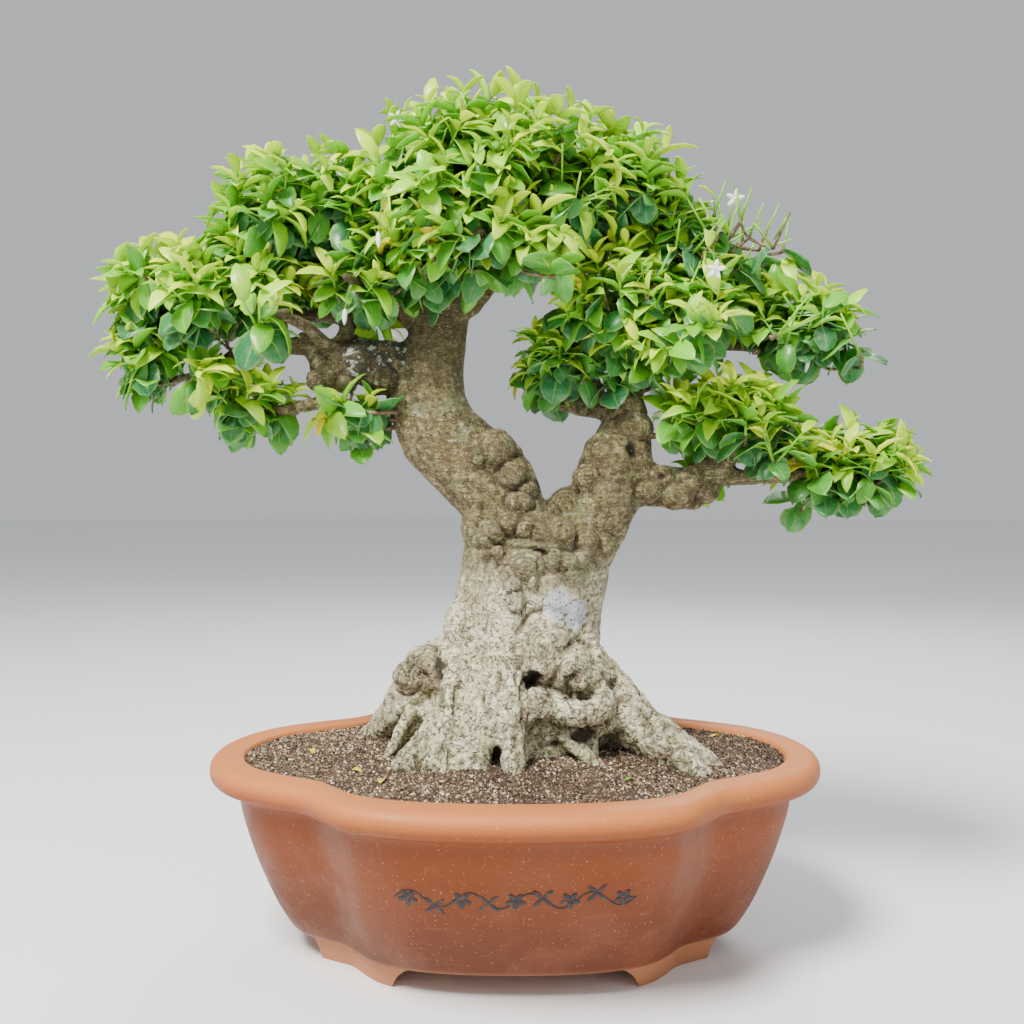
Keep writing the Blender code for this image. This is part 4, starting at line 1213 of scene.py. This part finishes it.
def grain_lots(rng):
    reach_x, reach_y = (float(v) for v in np.abs(outline(top_growth)).max(axis=0))
    matrices, tones = [], []
    while len(matrices) < GRAIN_COUNT:
        found = on_soil(rng.uniform(-reach_x, reach_x), rng.uniform(-reach_y, reach_y))
        tone, big = rng.random(), rng.random()
        size = GRAIN_SIZES[0] + (GRAIN_SIZES[1] - GRAIN_SIZES[0]) * big ** 3
        squash = Matrix.Diagonal((size * rng.uniform(0.8, 1.7), size, size * rng.uniform(0.5, 1.0), 1.0))
        turn = random_turn(rng)
        if found is None or inside_wood(found[0]):
            continue
        place = Matrix.Translation(found[0] + found[1] * size * 0.15)
        matrices.append(place @ turn @ squash)
        drift = 0.22 * noise.noise(found[0] * 24) - 0.6 * found[0].x - 0.6 * found[0].y
        tones.append((min(1.0, max(0.0, tone ** 1.25 + drift)),))
    return matrices, tones


grain_matrices, grain_tones = grain_lots(soil_rng)
grains_mesh = scatter("soil_grains", [(grain_template(), grain_matrices, grain_tones, 0)], ["tone"])
grains = new_object("soil_grains", grains_mesh, GRIT, smooth=False)
hand_in(grains, "soil")

# %% [markdown]
# ## Leaves
# Water jasmine bears its leaves in opposite pairs. At the tips they are narrow, arched and lime green,
# further down broader and deep green, and the oldest are almost round, blue green and hanging. A leaf
# could be a flat card with a picture on it, but then its edge and its fold would be lost. Each template
# is a small grid that is pinched into a blade, folded along its midrib, arched and given thickness.

# %% Leaf templates
LEAF_ROWS = 5
LEAF_THICKNESS = 0.012
LEAF_KINDS = (
    # name, width, widest point (lower is nearer the base), fullness, fold, arch, wave
    ("young", 0.38, 0.95, 0.64, 0.60, 0.30, 0.00),
    ("arched", 0.44, 0.96, 0.61, 0.50, 0.52, 0.03),
    ("grown", 0.53, 0.94, 0.58, 0.35, 0.26, 0.05),
    ("broad", 0.65, 0.97, 0.54, 0.22, 0.32, 0.06),
    ("round", 0.84, 1.00, 0.49, 0.14, 0.18, 0.05),
)


def leaf_template(name, width, widest, fullness, fold, arch, wave):
    """A leaf one unit long, from the origin along +X, with its upper side towards +Z."""
    bm = bmesh.new()
    bm.loops.layers.uv.new("UVMap")
    bmesh.ops.create_grid(bm, x_segments=LEAF_ROWS, y_segments=2, size=0.5, calc_uvs=True)
    for corner in bm.verts:
        share = 0.5 - 0.5 * math.cos(math.pi * (corner.co.x + 0.5))
        side = corner.co.y * 2
        half = 0.5 * width * max(0.0, math.sin(math.pi * share ** widest)) ** fullness
        lift = fold * abs(side) * half + wave * side * math.sin(7 * share) * share
        corner.co = Vector((share - 0.25 * arch * share ** 2, side * half, lift - arch * share ** 2.2))
    bmesh.ops.remove_doubles(bm, verts=bm.verts, dist=0.0001)
    bmesh.ops.solidify(bm, geom=bm.faces[:], thickness=LEAF_THICKNESS)
    return template_of(bm, name)


LEAVES = {kind[0]: leaf_template(*kind) for kind in LEAF_KINDS}


def stem_template():
    """A tapered stem one unit long, from the origin along +X."""
    bm = bmesh.new()
    lay = Matrix.Translation((0.5, 0, 0)) @ Matrix.Rotation(math.pi / 2, 4, "Y")
    bmesh.ops.create_cone(bm, cap_ends=True, segments=5, radius1=1.0, radius2=0.62, depth=1.0, matrix=lay)
    return template_of(bm, "stem")


STEM = stem_template()
print("leaf templates:", {name: len(leaf["sizes"]) for name, leaf in LEAVES.items()}, "faces")


# %% [markdown]
# ### Leaf colour
# A leaf's age is stored on it, and the material goes from lime to deep green to blue green with it. The
# UV map runs along and across the blade, so that the midrib, the side veins and the paler margin fall
# in place. Old leaves get a dull, pale sheen painted on top as pale blue-green patches.


# %% Leaf materials
def leaf_veins(tree):
    """Masks of the midrib, the side veins and the margin, from the leaf's UV map."""
    uv = add_node(tree, "ShaderNodeUVMap", uv_map="UVMap").outputs["UV"]
    axes = add_node(tree, "ShaderNodeSeparateXYZ", {"Vector": uv})
    along, across = axes.outputs["X"], axes.outputs["Y"]
    side = maths(tree, "ABSOLUTE", maths(tree, "SUBTRACT", across, 0.5))
    midrib = ramp(tree, side, 0.045, 0.012)
    slant = maths(tree, "SUBTRACT", maths(tree, "MULTIPLY", along, 9.0), maths(tree, "MULTIPLY", side, 7.0))
    wave = maths(tree, "ABSOLUTE", maths(tree, "SUBTRACT", maths(tree, "FRACT", slant), 0.5))
    side_veins = maths(tree, "MULTIPLY", ramp(tree, wave, 0.09, 0.02), ramp(tree, side, 0.48, 0.30))
    margin = ramp(tree, side, 0.36, 0.50)
    return midrib, side_veins, margin


def build_leaf():
    material, tree, shader, place = new_material("water jasmine leaf")
    age = attribute(tree, "age")
    shade = attribute(tree, "shade")
    base = tone_ramp(tree, age, ((0.0, colour(214, 248, 44)), (0.24, colour(174, 234, 38)),
                                 (0.50, colour(110, 196, 38)), (0.78, colour(62, 148, 58)),
                                 (1.0, colour(42, 120, 74))))
    midrib, side_veins, margin = leaf_veins(tree)
    base = mix(tree, maths(tree, "MULTIPLY", margin, 0.30), base, colour(186, 206, 80))
    base = mix(tree, maths(tree, "MULTIPLY", side_veins, 0.12), base, colour(176, 204, 110))
    base = mix(tree, maths(tree, "MULTIPLY", midrib, 0.28), base, colour(196, 220, 110))
    # painted sheen: pale blue-green patches on top of old leaves stand in for reflected light
    painted_sheen = effect(tree, PATCHES, place, Scale=90.0, Level=0.48, Edge=0.14)
    old = ramp(tree, age, 0.55, 0.85)
    base = mix(tree, maths(tree, "MULTIPLY", maths(tree, "MULTIPLY", painted_sheen, old), 0.40), base,
               colour(128, 172, 136))
    base = mix(tree, 1.0, base, tone_ramp(tree, shade, ((0.0, (0.62, 0.66, 0.60, 1.0)),
                                                         (1.0, (1.18, 1.12, 1.0, 1.0)))), "MULTIPLY")
    yellowing = maths(tree, "MULTIPLY", ramp(tree, shade, 0.990, 0.994), ramp(tree, age, 0.62, 0.52))
    base = mix(tree, maths(tree, "MULTIPLY", yellowing, 0.85), base, colour(232, 196, 36))
    feed(tree, shader.inputs["Base Color"], base)
    feed(tree, shader.inputs["Roughness"], ramp(tree, age, 0.0, 1.0, 0.36, 0.32))
    shader.inputs["Specular IOR Level"].default_value = 0.5
    shader.inputs["Subsurface Weight"].default_value = 0.16
    shader.inputs["Subsurface Radius"].default_value = (0.6, 1.0, 0.2)
    shader.inputs["Subsurface Scale"].default_value = 0.003
    relief = maths(tree, "ADD", midrib, maths(tree, "MULTIPLY", side_veins, 0.6))
    add_bump(tree, shader, maths(tree, "SUBTRACT", 1.0, relief), 0.0004, 0.5)
    return material


def build_stem():
    material, tree, shader, place = new_material("young stem")
    age = attribute(tree, "age")
    base = mix(tree, ramp(tree, age, 0.2, 0.9), colour(122, 142, 60), colour(110, 82, 58))
    lichen = effect(tree, PATCHES, place, Scale=190.0, Level=0.55, Edge=0.1)
    base = mix(tree, maths(tree, "MULTIPLY", lichen, 0.5), base, colour(170, 160, 130))
    feed(tree, shader.inputs["Base Color"], base)
    shader.inputs["Roughness"].default_value = 0.7
    add_bump(tree, shader, effect(tree, GRAIN, place, Coarse=700.0, Fine=1800.0, Fine_share=0.3), 0.0004, 0.5)
    return material


LEAF = build_leaf()
STEM_PAINT = build_stem()
print("materials so far:", len(bpy.data.materials))

# %% [markdown]
# ## The crown
# The tree is trimmed into cloud-like pads with dark gaps between them. A hair system could fill a
# shape with leaves, but pairs on a shoot look alive only if each shoot is grown. So each pad has a
# number of shoots, spread over it by the golden angle, which keeps them evenly apart. A shoot ends
# on the pad's surface, leans out and up, and bears six pairs of leaves, each pair a quarter turn from
# the last, old ones at its foot and young ones at its tip.

# %% Shoots on the pads
PADS_MM = (
    # centre, half-size, shoots
    ((-16, 0, 542), (102, 78, 67), 108),
    ((-28, -56, 494), (62, 28, 38), 34),
    ((74, 4, 546), (46, 50, 42), 30),
    ((-150, 2, 525), (62, 55, 46), 46),
    ((-218, -4, 470), (68, 52, 33), 54),
    ((-262, -4, 428), (26, 24, 13), 12),
    ((-189, -10, 396), (31, 28, 9), 13),
    ((-112, -14, 388), (16, 18, 7), 7),
    ((-98, -18, 478), (38, 36, 30), 18),
    ((144, 2, 508), (56, 52, 42), 48),
    ((205, 0, 450), (36, 40, 26), 26),
    ((95, -6, 462), (60, 46, 44), 46),
    ((88, -2, 430), (30, 34, 20), 14),
    ((34, 18, 424), (28, 26, 24), 18),
    ((150, -8, 384), (42, 40, 22), 32),
    ((236, -4, 350), (48, 32, 22), 30),
)
CROWN_SEED = 8
GOLDEN_TURN = math.pi * (3 - math.sqrt(5))
PAD_DEPTH = 1.32
SHOOT_LENGTHS = (0.020, 0.038)
SHOOT_PAIRS = 6
LEAF_LENGTHS = (0.018, 0.030)
SHOOTS_AT_TWIG_END = 3
BARE_RADIUS = 0.045
crown_rng = random.Random(CROWN_SEED)
spray_names = sorted(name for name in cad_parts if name.startswith("spray_"))
spray_centres = {name: sum(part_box(name), Vector()) / 2 for name in spray_names}


def spray_feet():
    """Where each packed spray meets its twig, and the way it points."""
    packed_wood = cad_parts["wood"].data
    packed_tree = BVHTree.FromPolygons([vertex.co.copy() for vertex in packed_wood.vertices],
                                       [polygon.vertices[:] for polygon in packed_wood.polygons])
    feet = []
    for name in spray_names:
        corners = [vertex.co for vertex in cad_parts[name].data.vertices]
        foot = min(corners, key=lambda corner: packed_tree.find_nearest(corner)[3]).copy()
        feet.append((foot, (spray_centres[name] - foot).normalized()))
    return feet


def grow_shoots(rng):
    """Every shoot of the crown, as its tip, its heading, its length and how far up its pad it is.
    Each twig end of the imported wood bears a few, and all the others stand on the pads."""
    shoots = []
    for foot, along in spray_feet():
        count = SHOOTS_AT_TWIG_END
        if (foot - Vector(STUB_CENTRE)).length < BARE_RADIUS:
            count = 1
            along = along + Vector((0, 0, -1.5))
        for _ in range(count):
            heading = (along + Vector([rng.gauss(0, 0.45) for _ in range(3)])).normalized()
            length = rng.uniform(*SHOOT_LENGTHS)
            shoots.append((foot + heading * length, heading, length, 0.3))
    for pad_number, (centre, half_size, count) in enumerate(PADS_MM):
        for k in range(count):
            level = 1.0 - PAD_DEPTH * (k + 0.5) / count
            around = GOLDEN_TURN * k + pad_number
            flat = math.sqrt(max(0.0, 1 - level * level))
            depth = 1.0
            if k % 3 == 0:
                depth = rng.uniform(0.45, 0.85)
            out = Vector((flat * math.cos(around), flat * math.sin(around), level))
            tip = Vector(a + b * c * depth for a, b, c in zip(centre, half_size, out)) * MM
            sway = Vector([rng.gauss(0, 0.36) for _ in range(3)])
            heading = (out * 0.62 + Vector((0, -0.10, 0.62)) + sway).normalized()
            shoots.append((tip, heading, rng.uniform(*SHOOT_LENGTHS), level))
    return shoots


shoots = grow_shoots(crown_rng)
print(len(shoots), "shoots on", len(PADS_MM), "pads")


# %% Leaves along a shoot
def leaf_kind(age, rng):
    pick = age + rng.uniform(-0.12, 0.12)
    names = [kind[0] for kind in LEAF_KINDS]
    return names[min(len(names) - 1, max(0, int(pick * len(names))))]


def dress_shoot(tip, heading, length, level, rng):
    """The leaves and the stem of one shoot, as (template name, matrix, (age, shade))."""
    foot = tip - heading * length
    across = heading.orthogonal().normalized()
    across = Matrix.Rotation(rng.uniform(0, 2 * math.pi), 3, heading) @ across
    hidden = 0.12 * (1.0 - level) + rng.uniform(-0.26, 0.26)
    grown = [("stem", aim(foot, heading, across, (length, 0.0011, 0.0011)), (0.5, 0.5))]
    for pair in range(SHOOT_PAIRS):
        share = pair / (SHOOT_PAIRS - 1)
        age = min(1.0, max(0.0, 0.80 - 0.85 * share + hidden + rng.uniform(-0.12, 0.12)))
        rise = 0.10 + 1.5 * share ** 2
        root = foot + heading * length * (0.08 + 0.92 * share)
        for half in (0, 1):
            turn = math.pi * half + math.pi / 2 * pair + rng.uniform(-0.35, 0.35)
            side = Matrix.Rotation(turn, 3, heading) @ across
            along = side + heading * (rise + rng.uniform(-0.25, 0.25))
            along.z -= 0.75 * max(0.0, age - 0.55) / 0.45
            face_on = age > 0.62 and rng.random() < 0.18
            if face_on:
                along = Vector((rng.uniform(-0.6, 0.6), -0.4, -0.8))
            size = rng.uniform(*LEAF_LENGTHS)
            if pair == SHOOT_PAIRS - 1:
                size *= rng.uniform(0.5, 0.9)
            up = heading * 0.6 + Vector((0, -0.12, 0.8))
            if face_on:
                up = Vector((0, -1, 0.3))
                size *= 0.85
            up = Matrix.Rotation(rng.uniform(-0.5, 0.5), 3, along.normalized()) @ up
            matrix = aim(root, along, up, size)
            leaf = (leaf_kind(age, rng), matrix, (age, rng.random()))
            if not inside_wood(matrix @ Vector((0.6, 0, 0)), 0.003):
                grown.append(leaf)
    return grown


crown = [(tip - heading * length, dress_shoot(tip, heading, length, level, crown_rng))
         for tip, heading, length, level in shoots]
print(sum(len(grown) for _, grown in crown), "leaves and stems")

# %% [markdown]
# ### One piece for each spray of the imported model
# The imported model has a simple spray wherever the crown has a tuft. Each shoot joins the spray that is
# nearest to it, so every spray is replaced by its own share of the crown, in its own place.

# %% Foliage pieces
def share_out(crown):
    """Gives each spray at least one shoot, and every other shoot to its nearest spray."""
    shares = {name: [] for name in spray_names}
    left = list(range(len(crown)))
    for name in spray_names:
        closest = min(left, key=lambda i: (crown[i][0] - spray_centres[name]).length)
        shares[name].append(closest)
        left.remove(closest)
    for i in left:
        nearest = min(spray_names, key=lambda name: (crown[i][0] - spray_centres[name]).length)
        shares[nearest].append(i)
    return shares


templates = {**LEAVES, "stem": STEM}
for spray_name, members in share_out(crown).items():
    grown = [item for i in members for item in crown[i][1]]
    lots = []
    for kind_name, template in templates.items():
        own = [item for item in grown if item[0] == kind_name]
        number = 1 if kind_name == "stem" else 0
        lots.append((template, [item[1] for item in own], [item[2] for item in own], number))
    piece_name = spray_name.replace("spray", "foliage")
    piece = new_object(piece_name, scatter(piece_name, lots, ["age", "shade"]), LEAF, STEM_PAINT)
    hand_in(piece, "leaf", spray_name)

# %% [markdown]
# ## Twigs
# Every shoot has to be carried by something. The twigs are found from the shoot inwards: each takes
# the nearest point of the wood or of a twig that is already there, which makes them branch as grown
# ones do. They are curves with a round bevel, turned into a mesh.

# %% Twigs from the wood to every shoot
TWIG_STEPS = 4
TWIG_RADII = (0.0021, 0.0012)


def nearest_carrier(place, grown_points):
    """The nearest point of the wood or of the twigs so far, and its radius there."""
    near, normal, _, distance = wood_tree.find_nearest(place)
    best = (distance, near - normal * 0.0015, TWIG_RADII[0])
    if grown_points:
        points = np.array([point for point, _ in grown_points])
        gaps = np.linalg.norm(points - np.array(place), axis=1)
        index = int(gaps.argmin())
        if gaps[index] < 0.85 * best[0]:
            best = (gaps[index], Vector(grown_points[index][0]), grown_points[index][1])
    return best[1:]


def twig_lines(crown, shoots):
    """The lines of the twigs, as lists of (x, y, z, radius)."""
    order = sorted(range(len(crown)), key=lambda i: wood_tree.find_nearest(crown[i][0])[3])
    grown_points, lines = [], []
    for i in order:
        foot, heading = crown[i][0], shoots[i][1]
        start, radius = nearest_carrier(foot - heading * 0.006, grown_points)
        pull = 0.4 * (foot - start).length
        sag = Vector((0, 0, 0.15 * pull))
        middle = (start + foot - heading * pull) / 2 + sag
        thin = min(radius, TWIG_RADII[0]) * 0.92
        marks = [(*start, thin), (*middle, 0.5 * (thin + TWIG_RADII[1])), (*foot, TWIG_RADII[1]),
                 (*(foot + heading * 0.004), TWIG_RADII[1] * 0.9)]
        line = smooth_line(marks, TWIG_STEPS)
        lines.append(line)
        grown_points += [(tuple(mark[:3]), mark[3]) for mark in line[1:-TWIG_STEPS]]
    return lines


def build_twig_bark():
    material, tree, shader, place = new_material("twig bark")
    cloud = add_node(tree, "ShaderNodeTexNoise", {"Vector": place, "Scale": 260.0, "Detail": 5.0}).outputs["Fac"]
    base = tone_ramp(tree, cloud, ((0.35, colour(88, 66, 48)), (0.55, colour(132, 106, 80)),
                                   (0.70, colour(178, 164, 140))))
    feed(tree, shader.inputs["Base Color"], base)
    shader.inputs["Roughness"].default_value = 0.85
    add_bump(tree, shader, effect(tree, GRAIN, place, Coarse=600.0, Fine=1600.0, Fine_share=0.4), 0.0008, 0.8)
    return material


TWIG_BARK = build_twig_bark()
twigs = new_object("twigs", tubes("twigs", twig_lines(crown, shoots), resolution=0), TWIG_BARK)
hand_in(twigs, "bark")

# %% [markdown]
# ## Buds and flowers
# Water jasmine hangs its flowers on long thin stalks: white, pointed buds, and small stars of five
# petals when they open. Each stalk is a tube, each bud a ball drawn out to a drop, and each petal one
# more pinched grid, like the leaves.

# %% Buds and open flowers
BUDS = ((-0.191, -0.020, 0.423), (-0.114, -0.060, 0.443), (-0.087, -0.095, 0.486), (0.209, -0.010, 0.417))
FLOWERS = ((0.155, -0.020, 0.533), (0.127, -0.095, 0.467), (-0.081, -0.040, 0.581))
STALK_LENGTH = 0.030
STALK_RADIUS = 0.00035
BUD_LENGTH = 0.011
BUD_RADIUS = 0.0017
PETAL_LENGTH = 0.0068
flower_rng = random.Random(3)


def bud_template():
    bm = bmesh.new()
    bmesh.ops.create_uvsphere(bm, u_segments=10, v_segments=8, radius=1.0)
    for corner in bm.verts:
        taper = 0.62 + 0.38 * math.cos(1.1 * (corner.co.z + 0.25))
        corner.co.x *= taper
        corner.co.y *= taper
    bmesh.ops.rotate(bm, verts=bm.verts, matrix=Matrix.Rotation(math.pi / 2, 3, "Y"))
    return template_of(bm, "bud")


def build_petal():
    material, tree, shader, place = new_material("petal")
    cloud = effect(tree, PATCHES, place, Scale=300.0, Level=0.45, Edge=0.2)
    base = mix(tree, maths(tree, "MULTIPLY", cloud, 0.3), colour(246, 246, 238), colour(214, 226, 190))
    feed(tree, shader.inputs["Base Color"], base)
    shader.inputs["Roughness"].default_value = 0.55
    shader.inputs["Subsurface Weight"].default_value = 0.1
    shader.inputs["Subsurface Scale"].default_value = 0.002
    return material


def flower_lots(rng):
    """Buds hang below their stalks, petals spread in a star with a small cone in the middle."""
    petal = leaf_template("petal", 0.46, 0.95, 0.6, 0.1, 0.25, 0.0)
    bud = bud_template()
    down = Vector((0, 0, -1))
    bud_matrices, petal_matrices, stalks = [], [], []
    for place in BUDS:
        lean = (down + Vector((rng.uniform(-0.2, 0.2), rng.uniform(-0.2, 0.2), 0))).normalized()
        middle = Vector(place)
        bud_matrices.append(aim(middle, lean, Vector((0, -1, 0)), (BUD_LENGTH / 2, BUD_RADIUS, BUD_RADIUS)))
        stalks.append((middle - lean * BUD_LENGTH * 0.45, STALK_LENGTH))
    for place in FLOWERS:
        middle = Vector(place)
        face = Vector((rng.uniform(-0.5, 0.5), -0.8, rng.uniform(-0.4, 0.2))).normalized()
        across = face.orthogonal().normalized()
        for k in range(5):
            side = Matrix.Rotation(2 * math.pi * k / 5, 3, face) @ across
            petal_matrices.append(aim(middle, side + face * 0.35, face, PETAL_LENGTH * rng.uniform(0.9, 1.1)))
        bud_matrices.append(aim(middle + face * 0.0015, face, across, (0.0022, 0.0011, 0.0011)))
        stalks.append((middle - face * 0.001, STALK_LENGTH * 0.6))
    lots = [(petal, petal_matrices, [(0.0,)] * len(petal_matrices), 0),
            (bud, bud_matrices, [(0.0,)] * len(bud_matrices), 0)]
    return lots, stalks


def stalk_line(end, length, rng):
    """A thin line that rises from the back of a flower and bends over to its twig."""
    sway = Vector((rng.uniform(-0.4, 0.4), rng.uniform(0.1, 0.6), 0)) * length
    marks = [(*end, STALK_RADIUS), (*(end + Vector((0, 0, length * 0.6)) + sway * 0.3), STALK_RADIUS),
             (*(end + Vector((0, 0, length)) + sway), STALK_RADIUS * 1.2)]
    return smooth_line(marks, 5)


PETAL = build_petal()
flower_parts, stalk_starts = flower_lots(flower_rng)
flowers = new_object("flowers", scatter("flowers", flower_parts, ["age"]), PETAL)
hand_in(flowers, "leaf")
stalks = new_object("flower_stalks", tubes("flower_stalks", [stalk_line(end, length, flower_rng)
                                                             for end, length in stalk_starts]), STEM_PAINT)
hand_in(stalks, "leaf")

# %% Fallen leaves on the soil
LITTER = (
    # place, length, age, shade
    (-0.0857, -0.100, 0.013, 0.40, 0.999), (0.1160, -0.040, 0.014, 0.10, 0.50), (0.1290, -0.088, 0.008, 0.30, 0.999),
    (-0.1080, -0.070, 0.009, 0.45, 0.999), (0.0700, -0.098, 0.008, 0.45, 0.20), (-0.1450, -0.020, 0.010, 0.40, 0.999),
    (0.1550, 0.030, 0.011, 0.40, 0.999), (0.0200, 0.105, 0.012, 0.40, 0.999), (-0.0700, 0.095, 0.010, 0.90, 0.30),
)
litter_rng = random.Random(17)


def litter_lots(rng):
    matrices, tints = [], []
    for x, y, length, age, shade in LITTER:
        found = on_soil(x, y)
        if found is None or inside_wood(found[0], 0.002):
            continue
        along = Vector((rng.uniform(-1, 1), rng.uniform(-1, 1), 0.25))
        matrices.append(aim(found[0] + found[1] * 0.0012, along, found[1], length))
        tints.append((age, shade))
    return [(LEAVES["arched"], matrices, tints, 0)]


litter = new_object("litter", scatter("litter", litter_lots(litter_rng), ["age", "shade"]), LEAF)
hand_in(litter, "leaf")

# %% [markdown]
# ## Drain screens
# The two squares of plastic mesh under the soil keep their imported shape. They only get the look of
# black moulded plastic, a little dusty.


# %% Screen material
def build_screen_plastic():
    material, tree, shader, place = new_material("black mesh plastic")
    dust = effect(tree, PATCHES, place, Scale=240.0, Level=0.5, Edge=0.2)
    feed(tree, shader.inputs["Base Color"],
         mix(tree, maths(tree, "MULTIPLY", dust, 0.4), (0.02, 0.02, 0.02, 1.0), (0.12, 0.10, 0.08, 1.0)))
    shader.inputs["Roughness"].default_value = 0.5
    add_bump(tree, shader, effect(tree, GRAIN, place, Coarse=800.0, Fine=2000.0, Fine_share=0.3), 0.0003, 0.4)
    return material


SCREEN_PLASTIC = build_screen_plastic()
for screen_name in ("drain_screen_left", "drain_screen_right"):
    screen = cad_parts[screen_name]
    screen.data.materials.clear()
    screen.data.materials.append(SCREEN_PLASTIC)
print("drain screens painted")
